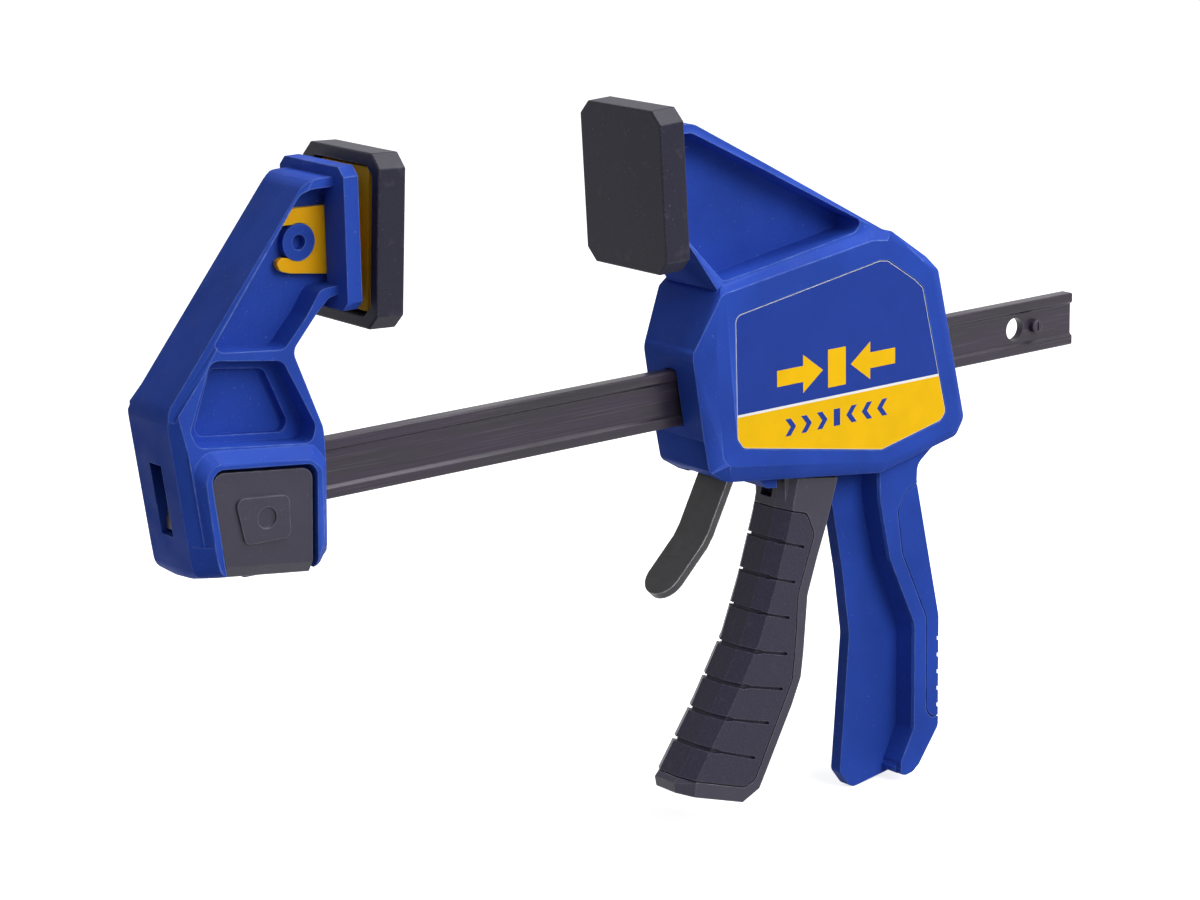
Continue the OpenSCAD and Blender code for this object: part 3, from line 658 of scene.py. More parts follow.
def stack(name: str, layers: list[tuple[float, Outline]]) -> Piece:
    """Extrudes an outline across Y from layer to layer; each layer has its own places for the same points.

    Args:
        name: Name of the piece.
        layers: Height along Y and outline in X and Z of each layer.

    Returns:
        The new object.
    """
    obj = plate(name, layers[0][1], layers[0][0], layers[1][0])
    for i, (level, shape) in enumerate(layers[1:]):
        last, before = layers[i]

        def work() -> None:
            """Extrude the face that closed the layer before."""
            bpy.ops.mesh.select_all(action="DESELECT")
            pick_faces(obj, lambda c, n: abs(c.y - last * MM) < TOUCH and abs(n.y) > 0.9)
            bpy.ops.mesh.extrude_region_move(TRANSFORM_OT_translate={"value": (0, (level - last) * MM, 0)})

        if i:
            in_edit(obj, work)
        for vertex in obj.data.vertices:
            if abs(vertex.co.y - level * MM) < TOUCH:
                spot = min(range(len(before)), key=lambda k: (vertex.co.x - before[k][0] * MM) ** 2
                           + (vertex.co.z - before[k][1] * MM) ** 2)
                vertex.co.x, vertex.co.z = shape[spot][0] * MM, shape[spot][1] * MM
    in_edit(obj, lambda: bpy.ops.mesh.normals_make_consistent(inside=False))
    return obj


def cut_sides(obj: Piece, shape: Outline, near: float, far: float) -> None:
    """Cuts an outline in X and Z out of both sides, between two distances from the middle."""
    for side in (-1, 1):
        combine(obj, plate("cutter", shape, side * near, side * far))


def pick_faces(obj: Piece, test: Callable[[Vector, Vector], bool]) -> None:
    """Selects faces from inside edit mode.

    Args:
        obj: Object in edit mode.
        test: Takes the centre of a face, in metres, and its normal.
    """
    bpy.ops.object.mode_set(mode="OBJECT")
    for face in obj.data.polygons:
        face.select = test(face.center, face.normal)
    bpy.ops.object.mode_set(mode="EDIT")


def within(low: Place, high: Place) -> Callable[[Vector], bool]:
    """Test of whether a place lies in a box, or in its mirror image on the other side."""
    return lambda p: all(a < v < b for a, v, b in zip(low, (p.x, abs(p.y), p.z), high))


def round_some(obj: Piece, width: float, test: Callable[[Vector], bool], steps: int = 3,
               angle: float = 35) -> None:
    """Rounds only the sharp edges whose middle passes a test.

    Args:
        obj: Object to change.
        width: Width of the rounding.
        test: Takes the middle of an edge.
        steps: Faces across the rounding.
        angle: Smallest bend that counts as an edge, degrees.
    """
    def work() -> None:
        """Select by place and bevel."""
        bpy.ops.mesh.select_mode(type="EDGE")
        bpy.ops.mesh.select_all(action="DESELECT")
        bpy.ops.mesh.edges_select_sharp(sharpness=math.radians(angle))
        bpy.ops.object.mode_set(mode="OBJECT")
        points = obj.data.vertices
        for edge in obj.data.edges:
            middle = (points[edge.vertices[0]].co + points[edge.vertices[1]].co) / 2
            edge.select = edge.select and test(middle / MM)
        bpy.ops.object.mode_set(mode="EDIT")
        bpy.ops.mesh.bevel(offset=width * MM, segments=steps, affect="EDGES", clamp_overlap=True)

    in_edit(obj, work)


def nudge(obj: Piece, dx: float, moves: Sequence[tuple[float, ...]], reach: float = 0.08) -> None:
    """Moves single corners of a mesh, and merges those that meet.

    Args:
        obj: Object to change.
        dx: Where the places count from along X.
        moves: Old and new place of each corner, for both sides of Y.
        reach: How near a corner has to be to its old place.
    """
    for vertex in obj.data.vertices:
        at = vertex.co / MM
        for *old, x, y, z in moves:
            if (Vector((at.x - dx, abs(at.y), at.z)) - Vector(old)).length < reach:
                vertex.co = Vector((x + dx, math.copysign(y, at.y), z)) * MM

    def work() -> None:
        """Merge and drop what has no area."""
        bpy.ops.mesh.remove_doubles(threshold=10 * TOUCH)
        bpy.ops.mesh.dissolve_degenerate(threshold=10 * TOUCH)

    in_edit(obj, work)


def join(*objs: Piece) -> Piece:
    """Puts meshes into the first object.

    Args:
        *objs: The objects; all but the first are used up.

    Returns:
        The first one.
    """
    alone(*objs)
    bpy.ops.object.join()
    return objs[0]


def inked(obj: Piece, finishes: Sequence[Finish], index: int = 0) -> Piece:
    """Gives a mesh its list of finishes and one of them to all its faces.

    Args:
        obj: Object to ink.
        finishes: The finishes, in the order of their indices.
        index: The one that all faces get.

    Returns:
        The same object.
    """
    obj.data.materials.clear()
    for finish in finishes:
        obj.data.materials.append(finish.material())
    obj.data.polygons.foreach_set("material_index", [index] * len(obj.data.polygons))
    return obj


def adopt(node: str, name: str) -> Piece:
    """Copies a CAD node's mesh, merges its loose triangles and dissolves its flats.

    Args:
        node: Name of the CAD node.
        name: Name of the piece.

    Returns:
        The merged copy.
    """
    obj = bpy.data.objects.new(name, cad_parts[node].data.copy())
    obj.data.name = name
    bpy.context.scene.collection.objects.link(obj)
    tidy(obj)
    return obj


@dataclass
class SubAssembly:
    """A group of pieces that ride on the frame.

    Attributes:
        pieces: What it has made so far.
    """

    pieces: list[Piece] = field(default_factory=list)

    def hand_over(self, obj: Piece, node: str, body: Body, slot: Slot, *finishes: Finish) -> None:
        """Dresses a finished piece, sets it on its body in a CAD node's place and reports it.

        Args:
            obj: The piece.
            node: CAD node that it stands for.
            body: Body that it rides on.
            slot: Not used.
            *finishes: Its finishes, in the order of its material indices.
        """
        if [m.name for m in obj.data.materials if m] != [f.name for f in finishes]:
            inked(obj, finishes)
        alone(obj)
        bpy.ops.object.shade_smooth_by_angle(angle=math.radians(SMOOTH))
        modify(obj, "WEIGHTED_NORMAL", mode="FACE_AREA", weight=80, keep_sharp=True)
        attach(obj, body.value)
        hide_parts(node)
        self.pieces.append(obj)
        LOG.info("%s: %d faces on %s", obj.name, len(obj.data.polygons), body.value)

    def dress_nodes(self, slot: Slot, finish: Finish, *nodes: str) -> None:
        """Gives CAD nodes that stay their finish.

        Args:
            slot: Not used.
            finish: Their finish.
            *nodes: Names of the nodes.
        """
        for node in nodes:
            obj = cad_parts[node]
            obj.data.materials.clear()
            obj.data.materials.append(finish.material())
            LOG.info("%s: carried over", node)


@dataclass
class BarAssembly(SubAssembly):
    """I-section bar with its stop pin and hanging hole.

    Attributes:
        height: Height of the section.
        thick: Thickness over the rails.
        rail: Height of a rail.
        recess: Depth between the rails.
        left: Jaw end.
        right: Free end.
        hole: Radius of the hanging hole.
        pin_x: Place of the stop pin.
        pin_r: Its radius.
        pin_proud: How far it stands out of the rails.
        slot: Half width and half height of the slot in its ends.
    """

    height: float = 20
    thick: float = 5.6
    rail: float = 3.9
    recess: float = 1.1
    left: float = -367.6
    right: float = 29.5
    hole: float = 4.25
    pin_x: float = 10
    pin_r: float = 2.5
    pin_proud: float = 1.2
    slot: tuple[float, float] = (0.4, 1.7)

    def section(self) -> Outline:
        """Section in Y and Z with rolled corners.

        Returns:
            The outline.
        """
        h, t = self.height / 2, self.thick / 2
        s, w = h - self.rail, t - self.recess
        side = [(t, -h, 0.7), (t, -s - 0.5, 0.5), (w, -s + 0.5, 0.6), (w, s - 0.5, 0.6), (t, s + 0.5, 0.5),
                (t, h, 0.7)]
        return outline(side + [(-y, z, r) for y, z, r in reversed(side)], 4)

    def build(self) -> None:
        """Draws the section out along X, drills the hole and breaks the ends."""
        bar = plate("bar_section", self.section(), self.left, self.right, Axis.X)
        combine(bar, rod("drill", 0, self.hole, 5))
        soften(bar, 0.35, 2, 40)
        self.hand_over(bar, "bar", Body.ROOT, Slot.BAR, BAR)
        pin = rod("stop_pin_head", self.pin_x, self.pin_r, self.thick / 2 + self.pin_proud)
        soften(pin, 0.6, 3, 40)
        (w, h), x = self.slot, self.pin_x
        cut_sides(pin, rectangle(x - w, x + w, -h, h), 3.5, 5)
        self.hand_over(pin, "stop_pin", Body.ROOT, Slot.BRIGHT, BAR)


@dataclass
class FixedJawAssembly(SubAssembly):
    """Fixed jaw with its button, lock and swivel pad.

    Outlines are in X and Z and count X from JAW_X.

    Attributes:
        length: Depth of the jaw along the bar.
        lean: How far the end face comes in over its height.
        brow: Where the end face starts to lean.
        fall: Height over which it leans.
        sole: Underside of the block.
        layers: Place across Y, inset from the end face and lift of the underside, for the round lower end.
        old_end: End of the moulding that the round one takes the place of.
        well: Room behind the button.
        heel: What is cut off the inner edge.
        chamfer: Band that the button's chamfer takes off, upper edge first.
        chamfer_y: Where the chamfer meets the button's face and its underside.
        button_drop: How far the button's lower edge hangs below its seat.
        slack: How far the carrier's plate stays inside its full width on each side.
    """

    length: float = 55.5
    lean: float = 7.4
    brow: float = 29
    fall: float = 55
    sole: float = -27.3
    layers: Rows = ((-18.5, 5.8, 4.1), (-15.5, 3.45, 3.5), (-11.7, 0, 3.1), (-5, 0, 1.4), (4, 0, 0.6),
                    (11.7, 0, 1.2), (15.5, 3.45, 3.4), (18.5, 5.8, 4.6))
    old_end: Outline = ((-56, -13), (-30.05, -13), (-30.05, -32), (-56, -32))
    well: Outline = ((-41.55, -12.9), (-40.35, -23), (-39.9, -32), (-29, -32), (-29, -12.9))
    heel: Rows = ((4, -13, 0), (-0.5, -13, 0), (-1.4, -27.4, 6), (-12, -27, 0), (-12, -34, 0), (4, -34, 0))
    chamfer: Outline = ((-44, -19.8), (-3, -25), (-3, -29.6), (-44, -24.4))
    chamfer_y: tuple[float, float] = (17.52, 14.9)
    button_drop: float = 1.6
    slack: float = 3.4

    def end_x(self, z: float) -> float:
        """Place of the end face at a height."""
        return self.lean * (self.brow - z) / self.fall - self.length

    def by_end_face(self, p: Vector) -> bool:
        """Whether a place is on the long edges of the end face, within a bevel's width of it."""
        return 10 < abs(p.y) < 16 and -24 < p.z < 27 and p.x < JAW_X + self.end_x(p.z) + 4.6

    def lower_end(self, inset: float, lift: float) -> Outline:
        """Outline of one layer of the round lower end.

        Args:
            inset: How far it is drawn in from the end face.
            lift: How far it is drawn up from the underside.

        Returns:
            The outline.
        """
        rows = [(self.end_x(z) + inset, z, 0) for z in (-13, -16)]
        rows += [(self.end_x(self.sole) + inset, self.sole + lift, 6.5 - inset / 2),
                 (-36, self.sole + lift, 3), (-30, self.sole + 1.7 + lift / 2, 0), (-30, -13, 0)]
        return shifted(outline(rows), JAW_X)

    def button(self) -> Piece:
        """Lowers the button's bottom edge and cuts a steep chamfer along it.

        Returns:
            The button.
        """
        button = adopt("push_button", "jaw_button")
        low = {v for face in button.data.polygons if face.normal.z < -0.9 and face.center.z < -22 * MM
               for v in face.vertices}
        for index in low:
            button.data.vertices[index].co.z -= self.button_drop * MM
        face_y, under_y = self.chamfer_y
        wedge = plate("chamfer", shifted(self.chamfer, JAW_X), -20, -under_y)
        nudge(wedge, JAW_X, [(x, under_y, z, x, face_y, z) for x, z in self.chamfer[:2]])
        combine(button, wedge)
        round_some(button, 2.4, lambda p: p.z < -26 and p.x > JAW_X - 9, 4)
        soften(button, 0.4)
        return button

    def build(self) -> None:
        """Rounds the moulding and its small pieces."""
        jaw = adopt("fixed_jaw", "jaw_moulding")
        combine(jaw, plate("old_end", shifted(self.old_end, JAW_X), -22, 22))
        belly = [(y, self.lower_end(inset, lift)) for y, inset, lift in self.layers]
        combine(jaw, stack("belly", belly), Boolean.JOIN)
        combine(jaw, plate("well", shifted(self.well, JAW_X), -20, -11.7))
        combine(jaw, plate("heel", shifted(outline(self.heel), JAW_X), -22, 22))
        tidy(jaw)
        # the end face runs into the sides through wide soft edges
        round_some(jaw, 2.2, self.by_end_face, 4, 20)
        soften(jaw, 0.6)
        self.hand_over(jaw, "fixed_jaw", Body.ROOT, Slot.BLUE, BLUE)
        self.hand_over(self.button(), "push_button", Body.BUTTON, Slot.BLACK, BLACK)
        carrier = adopt("swivel_carrier", "swivel_carrier_moulding")
        half = max(abs(vertex.co.y) for vertex in carrier.data.vertices) / MM
        cut_sides(carrier, rectangle(-400, -200, 20, 120), half - self.slack, half + 5)
        soften(carrier, 0.4)
        self.hand_over(carrier, "swivel_carrier", Body.SWIVEL, Slot.AMBER, AMBER)
        self.dress_nodes(Slot.BRIGHT, BRIGHT, "lock_yoke", "button_spring")


@dataclass
class Pads(SubAssembly):
    """The two elastomer pads.

    Attributes:
        width: Width of a pad.
        height: Height of a pad.
        thick: Thickness.
        cut: Corner chamfer.
        rim: Rim round the pocket in the back.
        pocket: Depth of the pocket.
        swivel: X of the swivel's axis.
        level: Z of the swivel's axis and of the pads' middle.
        reach: Distance from that axis to the swivel pad's face.
        head_face: X of the head pad's face.
        tilts: Turn of the swivel pad and of the head pad about +Y, degrees.
    """

    width: float = 43.6
    height: float = 56.2
    thick: float = 10.4
    cut: float = 4.6
    rim: float = 4.2
    pocket: float = 5
    swivel: float = -320.1
    level: float = 76.2
    reach: float = 30.1
    head_face: float = -184.9
    tilts: tuple[float, float] = (3.2, -2.5)

    def octagon(self, inset: float, cut: float) -> Outline:
        """Chamfered rectangle in Y and Z.

        Args:
            inset: How far its sides are drawn in.
            cut: Length of a chamfer along each side.

        Returns:
            The outline.
        """
        w, h = self.width / 2 - inset, self.height / 2 - inset
        rows = [(cut - w, -h), (w - cut, -h), (w, cut - h), (w, h - cut), (w - cut, h), (cut - w, h),
                (-w, h - cut), (-w, cut - h)]
        return outline([(y, z, 0.8) for y, z in rows], 3)

    def pad(self, name: str, x: float, z: float, tilt: float, flip: bool) -> Piece:
        """Models one pad with its face at the origin and puts it in place.

        Args:
            name: Name of the piece.
            x: Where the middle of the face's axis goes.
            z: Its height.
            tilt: Turn about +Y, radians.
            flip: Whether it faces -X.

        Returns:
            The pad.
        """
        obj = plate(name, self.octagon(0, self.cut), -self.thick, 0, Axis.X)
        combine(obj, plate("pocket", self.octagon(self.rim, self.cut - 1.4), -self.thick - 2,
                           self.pocket - self.thick, Axis.X))
        soften(obj, 0.9, 3, 40)
        if flip:
            obj.data.transform(Matrix.Rotation(math.pi, 4, "Z"))
        obj.data.transform(Matrix.Translation(Vector((x, 0, z)) * MM) @ Matrix.Rotation(tilt, 4, "Y"))
        return obj

    def build(self) -> None:
        """Makes both pads."""
        turn, back = (math.radians(tilt) for tilt in self.tilts)
        x, z = self.swivel + self.reach * math.cos(turn), self.level - self.reach * math.sin(turn)
        near = self.pad("swivel_pad", x, z, turn, False)
        self.hand_over(near, "fixed_pad", Body.SWIVEL, Slot.PAD, PAD)
        far = self.pad("head_pad", self.head_face, self.level, back, True)
        self.hand_over(far, "moving_pad", Body.HEAD, Slot.PAD, PAD)


@dataclass
class HeadAssembly(SubAssembly):
    """Moving head with its handle and labels.

    Outlines are in X and Z and count X from HEAD_X.

    Attributes:
        film_rows: Outline of a side film.
        film_y: Outer face of a film.
        film_t: Thickness of a film.
        film_highlight_ring: Width of the ring at its cut edge, inked white as a painted highlight of the edge
            catching the light.
        band_z: Top of the yellow band.
        line_t: Height of the white line over it.
        mark: Middle of the pressing-arrows mark.
        mark_half: Half its height.
        row_z: Middle of the row of chevrons.
        row_half: Half its height.
        arrow: Block arrow from its tip, for half a height of 1.
        chevron: Chevron from its tip, for half a height of 1.
        seat: Groove round the soft skin's seat, open to the back.
    """

    film_rows: Rows = (
        (14.6, 28.95, 3), (81.9, 39.4, 3), (85.7, 38.9, 2), (98.8, 30.3, 2), (102.8, 26.8, 2),
        (114.4, -21.1, 2.5), (111.8, -23.9, 2.5), (82.9, -29.9, 2), (17.8, -18.4, 2.5), (15.1, -14.7, 2))
    film_y: float = 16.4
    film_t: float = 0.36
    film_highlight_ring: float = 0.17
    band_z: float = -7.1
    line_t: float = 0.9
    mark: tuple[float, float] = (61.3, 3.9)
    mark_half: float = 6.9
    row_z: float = -14.3
    row_half: float = 3.1
    arrow: Outline = ((0, 0), (1.35, 1), (1.35, 0.42), (3.1, 0.42), (3.1, -0.42), (1.35, -0.42), (1.35, -1))
    chevron: Outline = ((0, 0), (0.8, 1), (1.6, 1), (0.8, 0), (1.6, -1), (0.8, -1))
    seat: Rows = ((104.6, -47, 0), (98.7, -49.2, 4.2), (94.8, -56, 4.2), (97.2, -72.6, 6), (109.4, -99.6, 6),
                  (109.5, -136.1, 4), (112.4, -139.1, 1.5), (125, -139.8, 0), (125, -47, 0))

    def palm_side(self, f: float) -> Outline:
        """Side outline of the palm flange.

        Args:
            f: How far its front is moved forward.

        Returns:
            The outline.
        """
        return shifted(outline([
            (89.2 - f, -34, 0), (89.6 - f, -50, 10), (94.5 - f, -73.5, 12), (107 - f, -101, 6),
            (106.8 - f, -141.4, 4), (97.5 - f / 5, -153.6, 2), (97.2, -159.2, 3), (103.5, -158.2, 4),
            (115.7, -143, 4), (115.8, -100, 8), (104.3, -46, 4), (104.6, -40, 5), (111, -35.3, 4),
            (118, -32, 0)]), HEAD_X)

    def film(self, name: str, side: int) -> Piece:
        """Printed film: blue field, yellow band under a white line, pressing arrows, small chevrons, and a
        white ring round its cut edge that is a painted highlight.

        Args:
            name: Name of the piece.
            side: -1 for the near side, 1 for the far side.

        Returns:
            The film with its inks.
        """
        base = inked(plate(name, shifted(outline(self.film_rows), HEAD_X), side * (self.film_y - self.film_t),
                           side * self.film_y), INKS)
        levels = self.band_z, self.band_z + self.line_t
        for level in levels:
            in_edit(base, lambda: bpy.ops.mesh.bisect(plane_co=(0, 0, level * MM), plane_no=(0, 0, 1)))
        for face in base.data.polygons:
            z = face.center.z / MM
            face.material_index = 1 if z < levels[0] else 2 if z < levels[1] else 0

        def ring() -> None:
            """Inset the outer face and leave the ring and the rim selected, for the painted highlight."""
            bpy.ops.mesh.select_all(action="DESELECT")
            pick_faces(base, lambda c, n: n.y * side > 0.9)
            bpy.ops.mesh.inset(thickness=self.film_highlight_ring * MM, depth=0)
            bpy.ops.mesh.select_all(action="INVERT")

        in_edit(base, ring)
        # the ring and the film's rim take the white ink as a painted edge highlight
        for face in base.data.polygons:
            if face.select:
                face.material_index = 2
        mx, mz, half, small = self.mark[0] + HEAD_X, self.mark[1], self.mark_half, self.row_half
        # shape, ink and height of each mark, which mirrors about the middle
        prints = [(rectangle(-4.2, 4.2, -half, half), 1, 0.0)]
        for shape, ink, size, tips, drop in ((self.arrow, 1, half, (6.6,), 0.0), (
                self.chevron, 0, small, (4.5, 11.9, 19.3), self.row_z - mz)):
            prints += [([(-way * (tip + size * x), size * z) for x, z in shape], ink, drop)
                       for tip in tips for way in (1, -1)]
        prints.append((rectangle(-1.5, 1.5, -small, small), 0, self.row_z - mz))
        marks = [inked(plate("print", shifted(shape, mx, mz + drop), side * (self.film_y - 0.1),
                             side * (self.film_y + 0.04)), INKS, ink) for shape, ink, drop in prints]
        return join(base, *marks)

    def build(self) -> None:
        """Fills out and rounds the moulding and dresses its skin and films."""
        body = adopt("clamp_body", "head_moulding")
        full, thin = self.palm_side(3.9), self.palm_side(3.3)
        combine(body, stack("palm", [(-12.05, thin), (-11, full), (11, full), (12.05, thin)]), Boolean.JOIN)
        cut_sides(body, shifted(outline(self.seat), HEAD_X), 9.6, 13)
        # the web's front edges and the flange's inner edges are rounder than the rest
        round_some(body, 1.3, within((HEAD_X + 69, 2, -200), (HEAD_X + 82.5, 3, -45)))
        round_some(body, 3.2, within((HEAD_X + 84, 2, -146), (HEAD_X + 108, 3, -50)), 4)
        soften(body, 0.7)
        self.hand_over(body, "clamp_body", Body.HEAD, Slot.BLUE, BLUE)
        skin = adopt("handle_grip", "handle_skin")
        soften(skin, 0.5)
        self.hand_over(skin, "handle_grip", Body.HEAD, Slot.SOFT_BLUE, BLUE_SKIN)
        for name, side, node in (("film_near", -1, "label_left"), ("film_far", 1, "label_right")):
            self.hand_over(self.film(name, side), node, Body.HEAD, Slot.LABEL, *INKS)
        self.dress_nodes(Slot.BRIGHT, BRIGHT, "trigger_pin", "drive_spring", "release_spring")


@dataclass
class TriggerAssembly(SubAssembly):
    """Trigger, drive plates and release lever.

    Outlines are in X and Z and count X from HEAD_X.

    Attributes:
        front: Front of the trigger from the top down.
        back: Its back from the top down.
        zone: Side outline of the soft skin, which runs off the front.
        half: Half width of the trigger.
        flat: Half width of the flat down its front.
        bevel: How far the bevels beside the flat run back.
        skin: Thickness of the soft skin.
        grooves: Start on the bevel's edge and end on the side of each groove.
        groove_w: Width of a groove on the front and on the sides.
        groove_d: Depth of a groove.
        toe: Old and new place of the trigger's lower front corners.
        blade: Normals of the lever's two flats.
    """

    front: Outline = (
        (43.6, -35), (40, -50.5), (32.4, -74), (24.8, -93), (11.2, -115), (-5.4, -138.2), (-4.6, -141.6))
    back: Outline = (
        (67, -38.6), (61.7, -54.4), (56.9, -66.7), (52.3, -79.8), (50.2, -101), (48.9, -110),
        (44.6, -119.5), (30, -145.7), (28.8, -147.8), (20.9, -151.3))
    zone: Rows = (
        (20, -40.2, 0), (51.9, -49.6, 3), (55.5, -57.6, 4), (47.6, -78.3, 6), (46.2, -97, 0),
        (44.5, -110.4, 6), (26.5, -144, 3), (22, -145.6, 3), (-20, -132, 0))
    half: float = 10.5
    flat: float = 5.3
    bevel: float = 4.5
    skin: float = 1.8
    grooves: Sequence[tuple[float, ...]] = (
        (41.4, -58.3, 50.8, -61.7), (36.4, -70.6, 46.4, -73.9), (31.9, -82.8, 43.6, -86.7),
        (28.0, -96.1, 42.5, -100.0), (21.9, -107.8, 40.3, -112.8), (14.1, -118.3, 33.6, -124.2),
        (8.0, -128.9, 26.9, -135.9))
    groove_w: tuple[float, float] = (1.5, 0.7)
    groove_d: float = 1.15
    toe: Sequence[tuple[float, ...]] = (
        (-5.4, 5.3, -138.2, -6.8, 5.3, -139), (-4.6, 5.3, -141.6, -6.1, 5.3, -142.7),
        (-3.93, 5.98, -141.85, -6.1, 5.3, -142.7), (-3.93, 10.5, -141.85, -1.3, 10.5, -144.2),
        (-0.13, 10.5, -140.96, -1.3, 10.5, -144.2))
    blade: Rows = ((0.57, 0, -0.82), (0.88, 0, -0.47))

    def form(self, name: str, inset: float, more: float = 0.0) -> Piece:
        """Bevelled body of the trigger, its faces drawn in.

        Args:
            name: Name of the piece.
            inset: How far its sides and its front are drawn in.
            more: Further room in front of the back.

        Returns:
            The body.
        """
        back = shifted(self.back, more)[::-1]
        near = shifted(self.front, inset + self.bevel) + back
        middle = shifted(self.front, inset) + back
        wide, flat = self.half - inset, self.flat - inset * 0.3
        layers = [(-wide, near), (-flat, middle), (flat, middle), (wide, near)]
        return stack(name, [(y, shifted(shape, HEAD_X)) for y, shape in layers])

    def slit(self, index: int) -> Piece:
        """Cutter for one groove: a strip right across the trigger with a rounded inner end.

        Args:
            index: Number of the groove from the top.

        Returns:
            The cutter.
        """
        x0, z0, x1, z1 = self.grooves[index]
        start, end = Vector((x0, z0)), Vector((x1, z1))
        u = (end - start).normalized()
        v, long = Vector((-u.y, u.x)), (end - start).length
        wide, w = (width / 2 for width in self.groove_w)
        # the lower grooves open out where the bevel meets the side
        wedge = 1.0 if index > 2 else w + 0.1
        rows = [(-14, -wide, 0), (-0.4, -wide, 0), (0.2, -wedge, 0), (3.4, -w, 0), (long, -w - 0.2, w)]
        rows += [(a, -b, r) for a, b, r in reversed(rows)]
        shape = [tuple(start + u * a + v * b) for a, b in outline(rows, 5)]
        return plate("slit", shifted(shape, HEAD_X), -self.half - 2, self.half + 2)

    def soft_skin(self) -> Piece:
        """Cuts the soft skin of the front and sides out of the trigger's form, with its grooves.

        Returns:
            The skin.
        """
        skin = self.form("trigger_skin", 0)
        combine(skin, plate("zone", shifted(outline(self.zone), HEAD_X), -12, 12), Boolean.KEEP)
        combine(skin, self.form("core", self.skin, 12))
        cutter = join(*[self.slit(i) for i in range(len(self.grooves))])
        combine(cutter, self.form("groove_floor", self.groove_d, 12))
        combine(skin, cutter)
        tidy(skin, 0.3)
        soften(skin, 0.22, 2, 24)
        return skin

    def lever(self) -> Piece:
        """Gives the bent blade its dark faces and bright sheared edges, the brightness along their edges part
        wear and part painted highlight.

        Returns:
            The blade.
        """
        blade = inked(adopt("release_lever", "lever_blade"), [OXIDE, SHEARED])
        for face in blade.data.polygons:
            if face.center.z < -20 * MM and all(abs(face.normal.dot(Vector(n))) < 0.45 for n in self.blade):
                face.material_index = 1
        soften(blade, 0.5, 3)
        return blade

    def build(self) -> None:
        """Rounds the trigger and dresses what it drives."""
        trigger = adopt("trigger", "trigger_moulding")
        nudge(trigger, HEAD_X, self.toe)
        soften(trigger, 0.4)
        self.hand_over(trigger, "trigger", Body.TRIGGER, Slot.BLACK, BLACK)
        self.hand_over(self.soft_skin(), "trigger_grip", Body.TRIGGER, Slot.SOFT_BLACK, BLACK_SKIN)
        self.hand_over(self.lever(), "release_lever", Body.LEVER, Slot.LEVER, OXIDE, SHEARED)
        plates = [f"drive_plate_{number}" for number in (1, 2, 3)]
        self.dress_nodes(Slot.PLATE, PLATE, *plates, "spring_washer")


# ------------------------------------------------------------------ studio


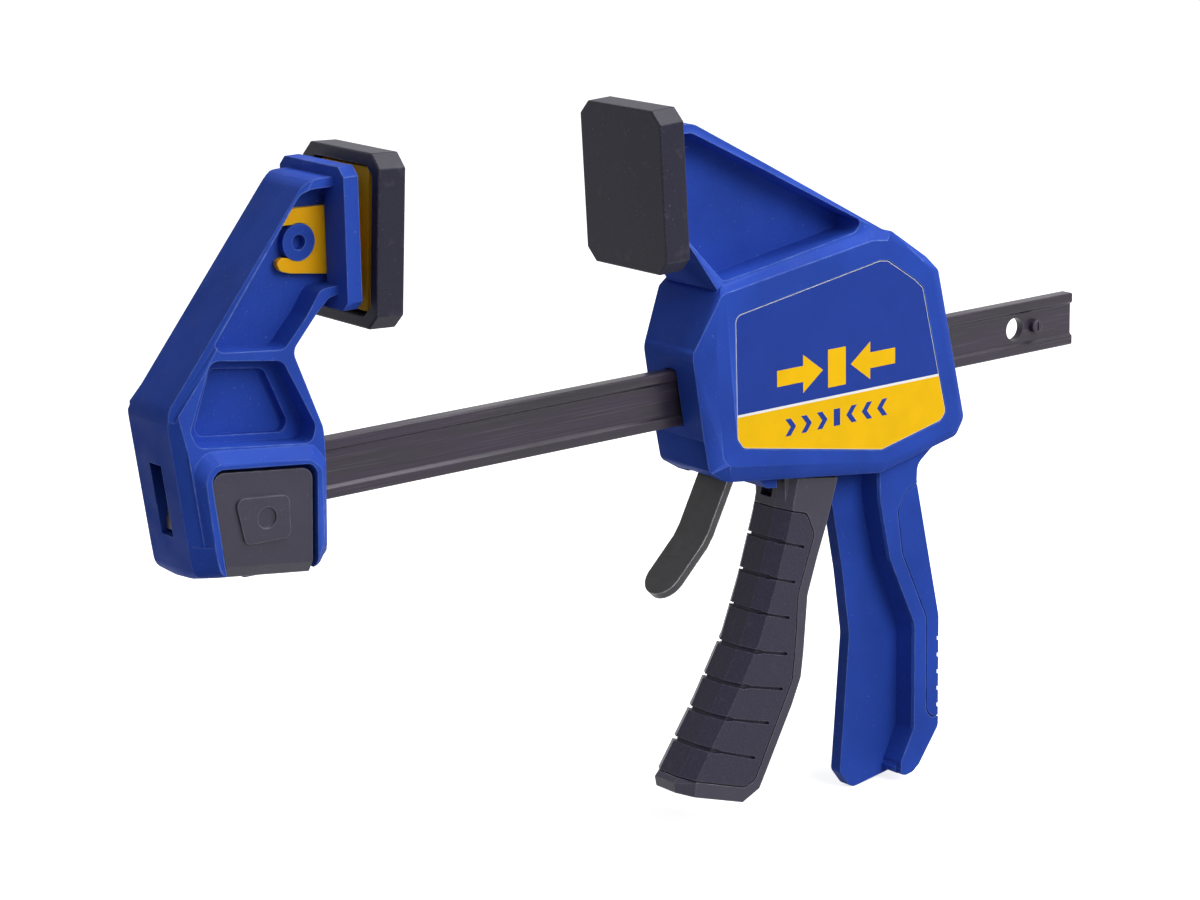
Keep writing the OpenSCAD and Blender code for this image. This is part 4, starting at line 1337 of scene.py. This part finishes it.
@dataclass
class Studio:
    """Camera, floor and lights.

    Attributes:
        frame_px: Width and height of the picture.
        focal_px: Focal length in its pixels.
        centre_px: Principal point in it.
        azimuth: Camera azimuth, degrees.
        elevation: Camera elevation, degrees.
        roll: Camera roll, degrees.
        eye: Camera place.
        aim: What the lamps point at, metres.
        lamps: Name, place in metres, side in metres and watts of each lamp.
        fill: Strength of the light from all round.
        floor_glow: What the floor adds of its own for the camera, so that it shows as white.
        floor_gap: Room under the lowest point, metres.
    """

    frame_px: tuple[int, int] = (1200, 900)
    focal_px: float = 3445.11
    centre_px: tuple[float, float] = (593.53, 446.79)
    azimuth: float = -37.72
    elevation: float = 14.17
    roll: float = -1.12
    eye: Place = (-898.9, -904.1, 276.8)
    aim: Place = (-0.17, 0, 0)
    lamps: Sequence[tuple[str, Place, float, float]] = (
        ("key", (0.1, -1.15, 0.75), 0.9, 12.1), ("top", (0.45, -0.35, 1.25), 0.65, 14.5),
        ("side", (-1.4, -0.75, 0.35), 1.2, 1))
    fill: float = 0.26
    floor_glow: float = 0.78
    floor_gap: float = 0.0002

    def camera(self) -> None:
        """Adds the camera at its measured place and angle."""
        a, e, r = (math.radians(v) for v in (self.azimuth, self.elevation, self.roll))
        back = Vector((math.sin(a) * math.cos(e), -math.cos(a) * math.cos(e), math.sin(e)))
        right = Vector((0, 0, 1)).cross(back).normalized()
        up = back.cross(right)
        right, up = (right * math.cos(r) + up * math.sin(r), up * math.cos(r) - right * math.sin(r))
        wide, tall = self.frame_px
        data = bpy.data.cameras.new("camera")
        data.sensor_width = 36
        data.lens = self.focal_px / wide * data.sensor_width
        data.shift_x = (wide / 2 - self.centre_px[0]) / wide
        data.shift_y = (self.centre_px[1] - tall / 2) / wide
        data.clip_start, data.clip_end = 0.05, 50
        camera = bpy.data.objects.new("camera", data)
        camera.matrix_world = Matrix.Translation(Vector(self.eye) * MM) @ Matrix(
            (right, up, back)).transposed().to_4x4()
        bpy.context.scene.collection.objects.link(camera)
        bpy.context.scene.camera = camera

    def two_sided(self, tree: Tree, lighting: Socket, seen: Socket, end: str) -> None:
        """Ends a tree in two shaders: one lights the clamp, the other is what is looked at.

        Args:
            tree: Node tree.
            lighting: Shader for rays that carry light.
            seen: Shader for the camera, reflections and clear material.
            end: Output node, without its prefixes.
        """
        camera, glossy, clear = (add(tree, "LightPath", out=f"Is {ray} Ray")
                                 for ray in ("Camera", "Glossy", "Transmission"))
        looked_at = add(tree, "Math", [add(tree, "Math", [camera, glossy], operation="MAXIMUM"), clear],
                        operation="MAXIMUM")
        add(tree, "Output" + end, [add(tree, "MixShader", [looked_at, lighting, seen])])

    def floor(self, level: float) -> None:
        """Lays a pale floor under the lowest point.

        Args:
            level: Height of the floor, metres.
        """
        bpy.ops.object.select_all(action="DESELECT")
        bpy.ops.mesh.primitive_plane_add(size=24, location=(0, 0, level))
        floor = bpy.context.object
        floor.name = "floor"
        paint = bpy.data.materials.new("studio_floor")
        paint.use_nodes = True
        tree = paint.node_tree
        tree.nodes.clear()
        shown = add(tree, "AddShader", [add(tree, "BsdfDiffuse", [linear("#F4F4F4")]),
                                        add(tree, "Emission", [(1, 1, 1, 1), self.floor_glow])])
        self.two_sided(tree, add(tree, "BsdfDiffuse", [linear("#8A8A8A")]), shown, "Material")
        floor.data.materials.append(paint)
        floor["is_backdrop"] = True

    def world(self) -> None:
        """Fills the shadows evenly and shows white behind the clamp."""
        world = bpy.context.scene.world = bpy.data.worlds.new("studio")
        world.use_nodes = True
        tree = world.node_tree
        tree.nodes.clear()
        fill, white = (add(tree, "Background", [(1, 1, 1, 1), power]) for power in (self.fill, 1.0))
        self.two_sided(tree, fill, white, "World")

    def build(self, lowest: float) -> None:
        """Sets up the whole studio round the clamp.

        Args:
            lowest: Height of the clamp's lowest point, metres.
        """
        self.camera()
        self.floor(lowest - self.floor_gap)
        self.world()
        for name, at, size, watts in self.lamps:
            data = bpy.data.lights.new(name, "AREA")
            data.size, data.energy = size, watts
            lamp = bpy.data.objects.new(name, data)
            turn = (Vector(self.aim) - Vector(at)).to_track_quat("-Z", "Y")
            lamp.matrix_world = Matrix.Translation(at) @ turn.to_matrix().to_4x4()
            bpy.context.scene.collection.objects.link(lamp)
        bpy.context.scene.view_settings.view_transform = "Standard"


def main() -> None:
    """Builds the clamp's sub-assemblies in order and sets up the studio."""
    logging.basicConfig(level=logging.INFO, format="%(name)s: %(message)s")
    packed = [list(v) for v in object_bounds()]
    parts: list[SubAssembly] = [BarAssembly(), FixedJawAssembly(), Pads(), HeadAssembly(), TriggerAssembly()]
    for part in parts:
        part.build()
    Studio().build(packed[0][2])
    LOG.info("%d pieces made", sum(len(p.pieces) for p in parts))


if __name__ == "__main__":
    main()
